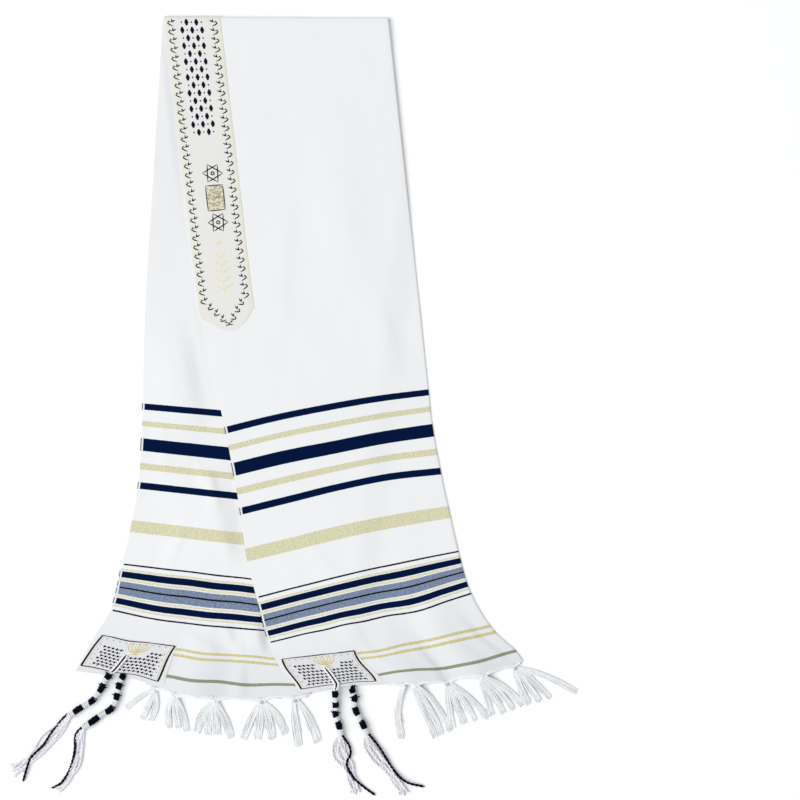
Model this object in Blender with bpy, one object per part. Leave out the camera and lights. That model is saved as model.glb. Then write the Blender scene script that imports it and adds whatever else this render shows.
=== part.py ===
"""Fringed prayer shawl with knotted corner tassels, folded in four and laid flat.

The cloth is one woven panel. It is folded lengthwise, so each tail has an upper
and an under layer joined by a side fold at the right, and then folded across at
the middle, so the front tail lies on the back tail. The tails spread downwards
into an upside-down V. X runs across, +Y points to the top fold, +Z is up, and the
underside lies on Z = 0. The origin is the middle of the outline, on the floor.
"""
import math

import bmesh
import bpy
from mathutils import Vector

MM = 0.001

# Walls and gaps, in millimetres
WALL = 1.0
LAYER_GAP = 0.5
SEAM_GAP = 0.3
BAND_THICKNESS = 0.8
PATCH_THICKNESS = 0.8
FOLD_REACH = 1.75
STACK = 2 * WALL + LAYER_GAP
SEWN_LIFT = SEAM_GAP + BAND_THICKNESS

# Length of the folded tail, from its hem to the top fold, along the cloth
TAIL_LENGTH = 915.0

# The weft lines of each tail, in millimetres on the floor. Each row gives the distance from the
# hem along the cloth, the open edges' point, the side fold's point, and how far the line bows
# towards the top fold at a quarter, a half and three quarters of its length.
FRONT_LINES = (
    # from hem, (edge x, y), (fold x, y), (bow at 1/4, 1/2, 3/4)
    (0, (14, -384), (312, -341), (1, -7, -8)),
    (17, (6, -372), (302, -327), (-3, -5, -8)),
    (48, (-17, -345), (271, -298), (-5, -8, -4)),
    (92, (-30, -316), (242, -250), (0, -2, -5)),
    (160, (-46, -256), (225, -194), (2, 3, 2)),
    (216, (-60, -199), (213, -141), (2, 4, 3)),
    (274, (-68, -140), (201, -86), (3, 6, 6)),
    (328, (-78, -84), (191, -31), (3, 3, 3)),
    (380, (-88, -31), (185, 20), (4, 5, 4)),
    (521, (-120, 115), (171, 152), (3, 4, 3)),
    (705, (-144, 305), (152, 324), (1, 2, 1)),
    (TAIL_LENGTH, (-169, 520), (131, 519), (0, 0, 0)),
)
BACK_LINES = (
    (0, (-289, -354), (27, -386), (-3, -16, -11)),
    (17, (-281, -338), (27, -373), (-7, -11, -8)),
    (48, (-267, -313), (30, -348), (-3, -3, 0)),
    (92, (-242, -272), (36, -309), (-5, -3, -1)),
    (160, (-227, -211), (46, -243), (0, 0, 0)),
    (216, (-215, -160), (53, -191), (0, 0, 0)),
    (274, (-205, -105), (60, -134), (0, 0, 0)),
    (328, (-201, -50), (67, -79), (0, 0, 0)),
    (380, (-199, 1), (74, -23), (0, 0, 0)),
    (521, (-195, 140), (89, 121), (0, 0, 0)),
    (705, (-184, 318), (110, 308), (0, 0, 0)),
    (TAIL_LENGTH, (-172, 520), (133, 519), (0, 0, 0)),
)
TAIL_LINES = {"front": FRONT_LINES, "back": BACK_LINES}

# Where the walls have points: distances from the hem, and shares of the way to the side fold
HEM_ROWS = (0, 6, 17, 30, 44, 58, 75, 92, 115, 138, 160, 190, 222, 258, 296, 335, 380, 430, 485)
UPPER_ROWS = (540, 600, 665, 730, 800, 865, TAIL_LENGTH)
ROWS = HEM_ROWS + UPPER_ROWS
SHARES = (0, 1 / 16, 1 / 8, 3 / 16, 1 / 4, 5 / 16, 3 / 8, 0.45, 0.525, 0.6, 0.7, 0.8, 0.9, 1)
SIDE_FOLD_ANGLES = (math.radians(45), math.radians(90), math.radians(135))
TOP_FOLD_STEPS = 6

# Soft waves of the upper layers. Each row gives the tail, the share and the distance from the hem
# at the wave's middle, half its width in shares, half its length and its height.
WAVES = (
    ("front", 0.52, 0, 0.16, 150, 5.0),
    ("front", 0.80, 0, 0.15, 190, 6.0),
    ("front", 0.70, 640, 0.20, 190, 2.0),
    ("back", 0.20, 300, 0.12, 160, 3.5),
    ("back", 0.52, 0, 0.16, 140, 5.0),
    ("back", 0.28, 120, 0.14, 110, 2.5),
)

# The front tail lies on the back tail, then sinks to the floor beyond the back tail's side fold
DRAPE_START = 34.0
DRAPE_RUN = 42.0
TOP_PUFF = 1.2
TOP_PUFF_RUN = 60.0

# The neckband's end is a tongue: distance from the hem at each of its columns
BAND_SHARES = SHARES[:5]
BAND_TONGUE = (521, 507, 502, 509, 526)
BAND_ROWS = tuple(v for v in ROWS if v > BAND_TONGUE[-1])
BAND_LIFT_MARGIN = 30.0
BAND_LIFT_RUN = 130.0

PATCH_SHARES = SHARES[:7]
PATCH_BOTTOM = 6
PATCH_TOP = 58
PATCH_ROWS = tuple(v for v in ROWS if PATCH_BOTTOM <= v <= PATCH_TOP)
PATCH_LIFT_ROWS = 57.0
PATCH_LIFT_SHARE = 0.225

# Fringe. Each bundle gives the share of the hem at its knot, its locks' thickness across, and
# the locks' ends in millimetres on the floor.
STRIP_WIDTH = 1.5
STRIP_START = {"front": 0.40, "back": 0.31}
STRIP_END = 0.985
STRIP_INSIDE = 6
LOCK_ROOT = 2.6
LOCK_TIP = 1.8
LOCK_FILL = 0.72
LOCK_BEND = 0.45
LOCK_BOW = 0.08
LOCK_SINK = 0.35
LOCK_TIP_SINK = 0.8
LOCK_TAPER = 0.6
LOCK_HEIGHT = 2.0
UNDER_LOCK_HEIGHT = 1.0
UPPER_LOCK_Z = 3.3
UNDER_LOCK_Z = 1.2
UNDER_LOCK_REACH = 0.72
FLOOR_LOCK_Z = 1.7
LOCK_STEPS = 7
FRINGE = {
    "front": (
        (0.425, 6.0, ((148, -445),)),
        (0.50, 3.4, ((194, -443), (203, -439), (212, -435))),
        (0.645, 5.6, ((219, -430), (233, -425), (248, -421), (262, -418))),
        (0.80, 5.6, ((272, -414), (286, -411), (299, -406), (311, -400))),
        (0.955, 6.0, ((320, -399), (334, -396), (348, -391), (384, -382))),
    ),
    "back": (
        (0.345, 4.0, ((-221, -404), (-200, -419), (-188, -421))),
        (0.43, 5.0, ((-164, -431), (-151, -431), (-139, -435))),
        (0.60, 6.0, ((-127, -437), (-113, -440), (-99, -440), (-80, -444))),
        (0.80, 7.0, ((-65, -446), (-45, -446), (-26, -446), (-7, -439))),
        (0.94, 7.0, ((11, -456), (36, -450))),
    ),
}

# Corner tassels. A loop's rows are (share of the way to the side fold, distance from the hem), from
# the patch's hole to its lower edge. A hidden one starts at its share of the hem. The head's
# places, the strands' middles and their ends are in millimetres on the floor.
CORD_RADIUS = 1.5
HEAD_RADIUS = 4.0
BEAD_RADIUS = 5.2
HEAD_SIDES = 6
HEAD_Z = 6.2
HIDDEN_START = 0.6
HEM_STEP = 0.01
END_KNOT_WIDTH = 14.4
STRAND_RADIUS = 1.15
STRAND_Z = 2.0
STRAND_STEPS = 8
STRAND_FILL = 0.85
TASSELS = {
    "front": {
        "loop": ((0.19, 37), (0.182, 27), (0.172, 16), (0.165, 5)),
        "head": ((60, -386), (60, -393), (60, -399), (60, -405), (61, -411), (63, -420),
                 (66, -428), (68, -437)),
        "middle": ((49, -480), (55, -482), (60, -483), (66, -484), (71, -485), (76, -484),
                   (81, -480), (87, -474)),
        "ends": ((70, -524), (75, -523), (80, -522), (84, -521), (89, -519), (96, -520),
                 (104, -521), (112, -520)),
    },
    "front_under": {
        "hem_share": 0.245,
        "head": ((84, -389), (86, -397), (87, -405), (90, -414), (94, -422), (98, -431),
                 (102, -440)),
        "middle": ((101, -462), (106, -465), (111, -467), (116, -468), (121, -468), (126, -466),
                   (131, -462), (137, -456)),
        "ends": ((137, -515), (143, -516), (149, -515), (155, -514), (161, -512), (166, -508),
                 (171, -505), (178, -509)),
    },
    "back": {
        "loop": ((0.175, 37), (0.166, 27), (0.153, 16), (0.14, 5)),
        "head": ((-246, -361), (-248, -369), (-253, -378), (-259, -386), (-265, -393),
                 (-275, -400), (-285, -405), (-294, -412)),
        "middle": ((-306, -450), (-312, -447), (-318, -444), (-324, -441), (-330, -438),
                   (-335, -434), (-339, -429), (-342, -422)),
        "ends": ((-359, -501), (-364, -498), (-368, -495), (-372, -491), (-375, -487),
                 (-378, -482), (-381, -476), (-383, -469)),
    },
    "back_under": {
        "hem_share": 0.205,
        "head": ((-230, -374), (-234, -381), (-234, -388), (-236, -396), (-243, -404),
                 (-252, -411), (-264, -420)),
        "middle": ((-270, -465), (-274, -463), (-278, -461), (-282, -459), (-286, -457),
                   (-289, -455), (-293, -452), (-297, -448)),
        "ends": ((-301, -518), (-305, -517), (-309, -516), (-313, -515), (-317, -514),
                 (-320, -512), (-324, -510), (-328, -507)),
    },
}

CLOTH_WHITE = (0.87, 0.89, 0.91, 1.0)
BAND_CREAM = (0.78, 0.77, 0.68, 1.0)
PATCH_GREY = (0.66, 0.66, 0.66, 1.0)
THREAD_WHITE = (0.88, 0.88, 0.90, 1.0)


def smooth(t):
    """Ease from 0 to 1."""
    t = min(max(t, 0.0), 1.0)
    return t * t * (3 - 2 * t)


def through(knots, values, at):
    """A smooth curve through values at rising knots, with slopes from the neighbours."""
    last = len(knots) - 1
    i = 0
    while i < last - 1 and at > knots[i + 1]:
        i += 1

    def slope(k):
        a, b = max(k - 1, 0), min(k + 1, last)
        return (values[b] - values[a]) / (knots[b] - knots[a])

    run = knots[i + 1] - knots[i]
    t = (at - knots[i]) / run
    start, end = values[i], values[i + 1]
    return (start * (1 + 2 * t) * (1 - t) ** 2 + end * t * t * (3 - 2 * t)
            + slope(i) * run * t * (1 - t) ** 2 - slope(i + 1) * run * t * t * (1 - t))


def on_floor(tail, from_hem, share):
    """Where a point of a tail lies, seen from above."""
    lines = TAIL_LINES[tail]
    knots = [line[0] for line in lines]
    edge = Vector([through(knots, [line[1][i] for line in lines], from_hem) for i in (0, 1)])
    fold = Vector([through(knots, [line[2][i] for line in lines], from_hem) for i in (0, 1)])
    bows = [through(knots, [line[3][i] for line in lines], from_hem) for i in range(3)]
    across = fold - edge
    upwards = Vector((-across.y, across.x)).normalized()
    bow = through((0, 0.25, 0.5, 0.75, 1), (0, *bows, 0), share)
    return edge + across * share + upwards * bow


def on_wall(tail, from_hem, share):
    """A point of a panel seen from above, drawn in to leave room for the side fold."""
    outwards = (on_floor(tail, from_hem, 1) - on_floor(tail, from_hem, 0.9)).normalized()
    return on_floor(tail, from_hem, share) - outwards * FOLD_REACH * share


def on_hem(tail, from_hem, share):
    """A point on the straight run between two of the wall's own columns, with the layers' heights."""
    column = max(i for i in range(len(SHARES) - 1) if SHARES[i] <= share)
    low, high = SHARES[column], SHARES[column + 1]
    part = (share - low) / (high - low)
    point = on_wall(tail, from_hem, low).lerp(on_wall(tail, from_hem, high), part)
    pairs = zip(heights(tail, from_hem, low), heights(tail, from_hem, high))
    return point, [a + (b - a) * part for a, b in pairs]


def back_fold_x(y):
    """The back tail's side fold, as X at a height Y on the floor."""
    points = sorted((line[2][1], line[2][0]) for line in BACK_LINES)
    along, across = zip(*points)
    return through(along, across, min(max(y, along[0]), along[-1]))


def band_lift(point):
    """How far the hidden half of the neckband lifts what lies on it."""
    low = on_floor("back", BAND_TONGUE[-1], 0)
    high = on_floor("back", TAIL_LENGTH, BAND_SHARES[-1])
    corner = on_floor("back", BAND_TONGUE[-1], BAND_SHARES[-1])
    beside = max(point.x - high.x, point.x - corner.x, 0)
    below = max(low.y - point.y, 0)
    away = math.hypot(beside, below) - BAND_LIFT_MARGIN
    return SEWN_LIFT * (1 - smooth(away / BAND_LIFT_RUN))


def patch_lift(from_hem, share):
    """How far a hidden corner patch lifts the layers on it."""
    up = smooth((from_hem - PATCH_TOP) / PATCH_LIFT_ROWS)
    beside = smooth((share - PATCH_SHARES[-1]) / PATCH_LIFT_SHARE)
    return SEWN_LIFT * (1 - up) * (1 - beside)


def wave(tail, from_hem, share):
    """Height of the soft waves in a tail's upper layer."""
    height = 0.0
    for name, mid_share, mid_row, half_width, half_length, rise in WAVES:
        across = (share - mid_share) / half_width
        along = (from_hem - mid_row) / half_length
        if name == tail and abs(across) < 1 and abs(along) < 1:
            height += rise * math.cos(across * math.pi / 2) ** 2 * math.cos(along * math.pi / 2) ** 2
    return height


def support(tail, from_hem, share):
    """Height of the surface that a tail's under layer lies on."""
    point = on_floor(tail, from_hem, share)
    height = band_lift(point) + patch_lift(from_hem, share)
    if tail == "front":
        past_fold = point.x - back_fold_x(point.y) - DRAPE_START
        height += (STACK + LAYER_GAP) * (1 - smooth(past_fold / DRAPE_RUN))
        height += TOP_PUFF * smooth(1 - (TAIL_LENGTH - from_hem) / TOP_PUFF_RUN)
    return height


def heights(tail, from_hem, share):
    """Heights of a tail's four skins: under layer's outer and inner, upper layer's inner and outer."""
    base = support(tail, from_hem, share)
    upper = base + WALL + LAYER_GAP + wave(tail, from_hem, share)
    return base, base + WALL, upper, upper + WALL


def section(tail, from_hem):
    """Outer and inner skin of a tail's section, from the first layer's open edge to the second's.

    The first layer is the one that carries the neckband: it is uppermost in the front tail
    and undermost in the back tail.
    """
    fold = on_floor(tail, from_hem, 1)
    outwards = (fold - on_floor(tail, from_hem, 0.9)).normalized()
    outer_upper, inner_upper, outer_under, inner_under = [], [], [], []
    for share in SHARES:
        point = on_wall(tail, from_hem, share)
        low_outer, low_inner, high_inner, high_outer = heights(tail, from_hem, share)
        outer_upper.append(Vector((*point, high_outer)))
        inner_upper.append(Vector((*point, high_inner)))
        inner_under.append(Vector((*point, low_inner)))
        outer_under.append(Vector((*point, low_outer)))

    def turn(top, bottom, reach):
        middle, radius = (top + bottom) / 2, (top.z - bottom.z) / 2
        points = []
        for angle in SIDE_FOLD_ANGLES:
            flat = middle.xy + outwards * reach * math.sin(angle)
            points.append(Vector((*flat, middle.z + radius * math.cos(angle))))
        return points

    outer = outer_upper + turn(outer_upper[-1], outer_under[-1], FOLD_REACH) + outer_under[::-1]
    inner = inner_upper + turn(inner_upper[-1], inner_under[-1], FOLD_REACH - WALL) + inner_under[::-1]
    if tail == "back":
        outer.reverse()
        inner.reverse()
    return outer, inner


def round_top_fold(front, back, turn):
    """A point on the way round the top fold, from the front tail to the back tail."""
    middle, radius = (front.z + back.z) / 2, (front.z - back.z) / 2
    flat = front.lerp(back, turn)
    angle = turn * math.pi
    return Vector((flat.x, flat.y + radius * math.sin(angle), middle + radius * math.cos(angle)))


def new_object(name, bm, color, roughness):
    """Turn a bmesh in millimetres into an object in metres, with its own material."""
    bmesh.ops.scale(bm, vec=(MM, MM, MM), verts=bm.verts)
    bmesh.ops.recalc_face_normals(bm, faces=bm.faces)
    if bm.calc_volume(signed=True) < 0:
        bmesh.ops.reverse_faces(bm, faces=bm.faces)
    mesh = bpy.data.meshes.new(name)
    bm.to_mesh(mesh)
    bm.free()
    obj = bpy.data.objects.new(name, mesh)
    material = bpy.data.materials.new(name)
    material.use_nodes = True
    shader = material.node_tree.nodes["Principled BSDF"]
    shader.inputs["Base Color"].default_value = color
    shader.inputs["Roughness"].default_value = roughness
    shader.inputs["Metallic"].default_value = 0.0
    mesh.materials.append(material)
    shawl.objects.link(obj)
    return obj


def plate(bm, outer, inner, flip_from=None):
    """Close a wall between two skins that are grids of points, rows along and columns across."""
    skins = [[[bm.verts.new(p) for p in row] for row in skin] for skin in (outer, inner)]
    rows, columns = len(outer), len(outer[0])
    for skin in skins:
        for r in range(rows - 1):
            for c in range(columns - 1):
                a, b, d, e = skin[r][c], skin[r][c + 1], skin[r + 1][c + 1], skin[r + 1][c]
                if flip_from is not None and c >= flip_from:
                    bm.faces.new((a, b, e))
                    bm.faces.new((b, d, e))
                else:
                    bm.faces.new((a, b, d))
                    bm.faces.new((a, d, e))
    top, bottom = skins
    for r in range(rows - 1):
        for c in (0, columns - 1):
            bm.faces.new((top[r][c], top[r + 1][c], bottom[r + 1][c], bottom[r][c]))
    for c in range(columns - 1):
        for r in (0, rows - 1):
            bm.faces.new((top[r][c], top[r][c + 1], bottom[r][c + 1], bottom[r][c]))


def make_cloth():
    """The whole folded panel: a U-shaped section swept up the front tail and down the back tail."""
    front = [section("front", v) for v in ROWS]
    back = [section("back", v) for v in reversed(ROWS)]
    turns = []
    for step in range(1, TOP_FOLD_STEPS):
        turn = step / TOP_FOLD_STEPS
        skins = []
        for above, below in zip(front[-1], back[0]):
            skins.append([round_top_fold(a, b, turn) for a, b in zip(above, below)])
        turns.append(skins)
    stations = front + turns + back
    bm = bmesh.new()
    half = len(SHARES) + len(SIDE_FOLD_ANGLES) // 2
    plate(bm, [s[0] for s in stations], [s[1] for s in stations], flip_from=half)
    new_object("shawl_cloth", bm, CLOTH_WHITE, 0.85)


def make_neckband():
    """The neckband, on the first layer's outer skin, over the top fold and under the back tail."""
    def on_panel(tail, from_hem, share):
        skins = heights(tail, from_hem, share)
        return Vector((*on_wall(tail, from_hem, share), skins[3] if tail == "front" else skins[0]))

    stations = []
    tongue = [on_panel("front", v, q) for v, q in zip(BAND_TONGUE, BAND_SHARES)]
    stations.append((tongue, Vector((0, 0, 1))))
    for v in BAND_ROWS:
        stations.append(([on_panel("front", v, q) for q in BAND_SHARES], Vector((0, 0, 1))))
    last_front = stations[-1][0]
    first_back = [on_panel("back", TAIL_LENGTH, q) for q in BAND_SHARES]
    for step in range(1, TOP_FOLD_STEPS):
        turn = step / TOP_FOLD_STEPS
        out = Vector((0, math.sin(turn * math.pi), math.cos(turn * math.pi)))
        stations.append(([round_top_fold(a, b, turn) for a, b in zip(last_front, first_back)], out))
    for v in reversed(BAND_ROWS):
        stations.append(([on_panel("back", v, q) for q in BAND_SHARES], Vector((0, 0, -1))))
    tongue = [on_panel("back", v, q) for v, q in zip(BAND_TONGUE, BAND_SHARES)]
    stations.append((tongue, Vector((0, 0, -1))))
    near = [[p + out * SEAM_GAP for p in points] for points, out in stations]
    far = [[p + out * SEWN_LIFT for p in points] for points, out in stations]
    bm = bmesh.new()
    plate(bm, far, near)
    new_object("neckband", bm, BAND_CREAM, 0.8)


def make_patch(name, tail, hidden):
    """A corner patch, made from its panel's own points and moved out."""
    near, far = [], []
    for v in PATCH_ROWS:
        row_near, row_far = [], []
        for q in PATCH_SHARES:
            point = on_wall(tail, v, q)
            skin = heights(tail, v, q)[0 if hidden else 3]
            side = -1 if hidden else 1
            row_near.append(Vector((*point, skin + side * SEAM_GAP)))
            row_far.append(Vector((*point, skin + side * (SEAM_GAP + PATCH_THICKNESS))))
        near.append(row_near)
        far.append(row_far)
    bm = bmesh.new()
    plate(bm, far, near)
    new_object(name, bm, PATCH_GREY, 0.75)


def middle_of(corners):
    """The middle of some corners of a mesh."""
    return sum((v.co for v in corners), Vector()) / len(corners)


def grow(bm, base, route, widths, height):
    """Draw a four-sided strand out of a base, along a route of points.

    The base's corners run right top, left top, left bottom, right bottom, seen along the route.
    """
    last = base
    for i, point in enumerate(route):
        ahead = route[min(i + 1, len(route) - 1)] - route[max(i - 1, 0)]
        side = Vector((-ahead.y, ahead.x, 0)).normalized() * widths[i] / 2
        lift = Vector((0, 0, height / 2))
        ring = [bm.verts.new(point + p) for p in (lift - side, lift + side, side - lift, -side - lift)]
        for a in range(4):
            b = (a + 1) % 4
            bm.faces.new((last[a], last[b], ring[b], ring[a]))
        last = ring
    bm.faces.new(last)


def make_fringe(name, tail, hidden):
    """Locks grown out of a narrow strip that follows the hem."""
    bm = bmesh.new()
    bundles = FRINGE[tail]
    step = LOCK_ROOT / (on_floor(tail, 0, 1) - on_floor(tail, 0, 0)).length
    cells, roots = [], {}
    for share, width, ends in bundles:
        kept = ends[1:-1][:2] if hidden and len(ends) > 2 else ends
        rooms = [math.dist(a, b) for a, b in zip(kept, kept[1:])]
        first = share - step * len(kept) / 2
        since = cells[-1] if cells else STRIP_START[tail]
        cells += [q for q in (STRIP_START[tail], *SHARES) if since <= q < first and q not in cells]
        for k, end in enumerate(kept):
            roots[len(cells)] = (end, width, min(rooms, default=2 * width))
            cells.append(first + step * k)
        cells.append(first + step * len(kept))
    cells += [q for q in (*SHARES, STRIP_END) if cells[-1] < q <= STRIP_END]
    corners = []
    for share in cells:
        hem, skins = on_hem(tail, 0, share)
        down = (hem - on_hem(tail, STRIP_INSIDE, share)[0]).normalized()
        low, high = (skins[0], skins[1]) if hidden else (skins[2], skins[3])
        near = hem + down * SEAM_GAP
        far = hem + down * (SEAM_GAP + STRIP_WIDTH)
        ring = ((near, high), (far, high), (far, low), (near, low))
        corners.append([bm.verts.new(Vector((*p, z))) for p, z in ring])
    bm.faces.new(corners[0])
    bm.faces.new(corners[-1])
    for i in range(len(cells) - 1):
        a, b = corners[i], corners[i + 1]
        for k in range(4):
            if k == 1 and i in roots:
                continue
            n = (k + 1) % 4
            bm.faces.new((a[k], a[n], b[n], b[k]))
        if i in roots:
            end, width, room = roots[i]
            grow_lock(bm, (a, b), Vector((*end, 0)), width, room, hidden)
    new_object(name, bm, THREAD_WHITE, 0.9)


def grow_lock(bm, cell, end, width, room, hidden):
    """One lock, from its cell of the strip down to the floor and out to its end.

    It is as wide as the room between it and its neighbours allows, up to its own width.
    """
    a, b = cell
    base = (a[1], b[1], b[2], a[2])
    start = middle_of(base)
    outwards = Vector((b[1].co.y - a[1].co.y, a[1].co.x - b[1].co.x, 0)).normalized()
    if hidden:
        end = start.lerp(end, UNDER_LOCK_REACH)
    reach = math.dist(end.xy, start.xy)
    control = start.lerp(end, LOCK_BEND) + outwards * reach * LOCK_BOW
    height = UNDER_LOCK_HEIGHT if hidden else LOCK_HEIGHT
    level = UNDER_LOCK_Z if hidden else UPPER_LOCK_Z
    route, widths = [], []
    for s in range(1, LOCK_STEPS + 1):
        t = s / LOCK_STEPS
        flat = start * (1 - t) ** 2 + control * 2 * t * (1 - t) + end * t * t
        z = start.z + (level - start.z) * smooth(t / LOCK_SINK)
        if not hidden:
            z += (FLOOR_LOCK_Z - level) * smooth((t - LOCK_TIP_SINK) / (1 - LOCK_TIP_SINK))
        route.append(Vector((flat.x, flat.y, z)))
        free = LOCK_FILL * (LOCK_ROOT + (room - LOCK_ROOT) * t)
        taper = 1 - (1 - LOCK_TIP / width) * smooth((t - LOCK_TAPER) / (1 - LOCK_TAPER))
        widths.append(min(width * taper, free))
    grow(bm, base, route, widths, height)


def ring_at(bm, point, ahead, radius, sides, flat_base=0.6):
    """A ring of a tube that lies on the floor, its lowest points kept clear of the floor."""
    side = Vector((-ahead.y, ahead.x, 0)).normalized()
    ring = []
    for k in range(sides):
        angle = 2 * math.pi * (k + 0.5) / sides
        corner = point + side * radius * math.cos(angle) + Vector((0, 0, radius * math.sin(angle)))
        corner.z = max(corner.z, flat_base)
        ring.append(bm.verts.new(corner))
    return ring


def bridge(bm, first, second):
    """Join two rings of the same number of points."""
    for k in range(len(first)):
        n = (k + 1) % len(first)
        bm.faces.new((first[k], first[n], second[n], second[k]))


def tassel_route(parts, tail):
    """The cord's and the head's places, each with its radius."""
    beads = [BEAD_RADIUS if i % 2 else HEAD_RADIUS for i in range(len(parts["head"]) - 1)]
    if "loop" in parts:
        over_patch = SEWN_LIFT + SEAM_GAP + CORD_RADIUS
        route = []
        for share, from_hem in parts["loop"]:
            top = heights(tail, max(from_hem, 0), share)[3]
            route.append((Vector((*on_floor(tail, from_hem, share), top + over_patch)), CORD_RADIUS))
        levels = [top + SEAM_GAP + HEAD_RADIUS, (top + SEAM_GAP + HEAD_RADIUS + HEAD_Z) / 2]
    else:
        share = parts["hem_share"]
        hem = on_hem(tail, 0, share)[0]
        along = on_hem(tail, 0, share + HEM_STEP)[0] - on_hem(tail, 0, share - HEM_STEP)[0]
        down = Vector((along.y, -along.x)).normalized()
        starts = [hem + down * away for away in (HIDDEN_START, HIDDEN_START + CORD_RADIUS)]
        route = [(Vector((*start, 2 * CORD_RADIUS)), 2 * CORD_RADIUS) for start in starts]
        levels = []
    for i, ((x, y), radius) in enumerate(zip(parts["head"], beads)):
        route.append((Vector((x, y, levels[i] if i < len(levels) else HEAD_Z)), radius))
    return route


def make_tassel(name, tail, tail_key):
    """A corner tassel: cord loop, wound head with knots, and eight strands from the end knot."""
    parts = TASSELS[tail_key]
    bm = bmesh.new()
    route = tassel_route(parts, tail)
    rings = []
    for i, (point, radius) in enumerate(route):
        ahead = route[min(i + 1, len(route) - 1)][0] - route[max(i - 1, 0)][0]
        rings.append(ring_at(bm, point, ahead, radius, HEAD_SIDES))
    bm.faces.new(rings[0])
    for first, second in zip(rings, rings[1:]):
        bridge(bm, first, second)
    end, before = Vector((*parts["head"][-1], 0)), Vector((*parts["head"][-2], 0))
    ahead = (end - before).normalized()
    side = Vector((-ahead.y, ahead.x, 0))
    middles, ends = list(parts["middle"]), list(parts["ends"])
    if (Vector(ends[-1]) - Vector(ends[0])).dot(side.xy) < 0:
        middles.reverse()
        ends.reverse()
    count = len(ends)
    pitch = END_KNOT_WIDTH / count
    top, bottom = [], []
    for k in range(count + 1):
        across = side * (pitch * k - END_KNOT_WIDTH / 2)
        top.append(bm.verts.new(end + across + Vector((0, 0, STRAND_Z + STRAND_RADIUS))))
        bottom.append(bm.verts.new(end + across + Vector((0, 0, STRAND_Z - STRAND_RADIUS))))
    join_rings(bm, rings[-1], top + bottom[::-1])
    for k in range(count):
        base = (top[k], top[k + 1], bottom[k + 1], bottom[k])
        places = (middle_of(base), (*middles[k], STRAND_Z), (*ends[k], STRAND_Z))
        points = []
        for s in range(1, STRAND_STEPS + 1):
            t = s / STRAND_STEPS
            points.append(Vector([through((0, 0.5, 1), along, t) for along in zip(*places)]))
        widths = [min(2 * STRAND_RADIUS, STRAND_FILL * pitch * s) for s in range(1, STRAND_STEPS + 1)]
        grow(bm, base, points, widths, 2 * STRAND_RADIUS)
    new_object(name, bm, THREAD_WHITE, 0.85)


def join_rings(bm, small, large):
    """Join two rings of unlike numbers of points with triangles, starting at their nearest points."""
    start = min(range(len(small)), key=lambda k: (small[k].co - large[0].co).length)
    turn_large = (large[1].co - large[0].co).cross(large[-1].co - large[0].co)
    ahead = middle_of(large) - middle_of(small)
    turn_small = (small[1].co - small[0].co).cross(small[-1].co - small[0].co)
    way = 1 if turn_small.dot(ahead) * turn_large.dot(ahead) > 0 else -1
    i = j = 0
    n, m = len(small), len(large)
    while i < n or j < m:
        a, b = small[(start + way * i) % n], large[j % m]
        if j == m or (i < n and (i + 1) / n <= (j + 1) / m):
            bm.faces.new((a, b, small[(start + way * (i + 1)) % n]))
            i += 1
        else:
            bm.faces.new((a, b, large[(j + 1) % m]))
            j += 1


for old in list(bpy.data.objects):
    bpy.data.objects.remove(old, do_unlink=True)

shawl = bpy.data.collections.new("prayer_shawl")
bpy.context.scene.collection.children.link(shawl)

make_cloth()
make_neckband()
for tail_name in ("front", "back"):
    make_patch(f"corner_patch_{tail_name}", tail_name, hidden=False)
    make_patch(f"corner_patch_{tail_name}_under", tail_name, hidden=True)
    make_fringe(f"fringe_{tail_name}", tail_name, hidden=False)
    make_fringe(f"fringe_{tail_name}_under", tail_name, hidden=True)
    make_tassel(f"tassel_{tail_name}", tail_name, tail_name)
    make_tassel(f"tassel_{tail_name}_under", tail_name, f"{tail_name}_under")
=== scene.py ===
# %% [markdown]
# # A fringed prayer shawl, folded in four and laid flat
#
# The shawl is one long woven panel with stripes near both ends. It is folded lengthwise in half and
# then across at the middle, and its two tails are spread into an upside-down V. A woven neckband is
# sewn over the top fold, a patch sits at each corner, a cord tassel hangs from each patch, and a
# knotted fringe runs along both ends.
#
# This file dresses the plain solids of the part: each step makes one kind of piece in cloth or thread.
# Chance is used for what hands do unevenly, always from a fixed seed, so each run gives the same shawl.

# %% Load the part
import functools
import math
import random

import bmesh
import bpy
from mathutils import Matrix, Vector, noise


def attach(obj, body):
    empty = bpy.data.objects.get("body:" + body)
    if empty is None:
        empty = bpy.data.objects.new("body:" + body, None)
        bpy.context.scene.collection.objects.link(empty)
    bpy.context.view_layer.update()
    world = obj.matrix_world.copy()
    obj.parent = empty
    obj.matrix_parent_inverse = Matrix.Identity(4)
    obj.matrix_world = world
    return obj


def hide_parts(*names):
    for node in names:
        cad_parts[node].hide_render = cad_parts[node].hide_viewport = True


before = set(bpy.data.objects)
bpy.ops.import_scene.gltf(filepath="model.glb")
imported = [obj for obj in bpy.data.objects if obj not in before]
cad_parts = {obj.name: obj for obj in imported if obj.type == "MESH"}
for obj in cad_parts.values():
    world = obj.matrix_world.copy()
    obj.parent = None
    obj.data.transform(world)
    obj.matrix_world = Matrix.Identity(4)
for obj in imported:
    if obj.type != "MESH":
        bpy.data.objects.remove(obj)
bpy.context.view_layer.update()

MM = 0.001
print("solids:", len(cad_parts))
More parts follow.
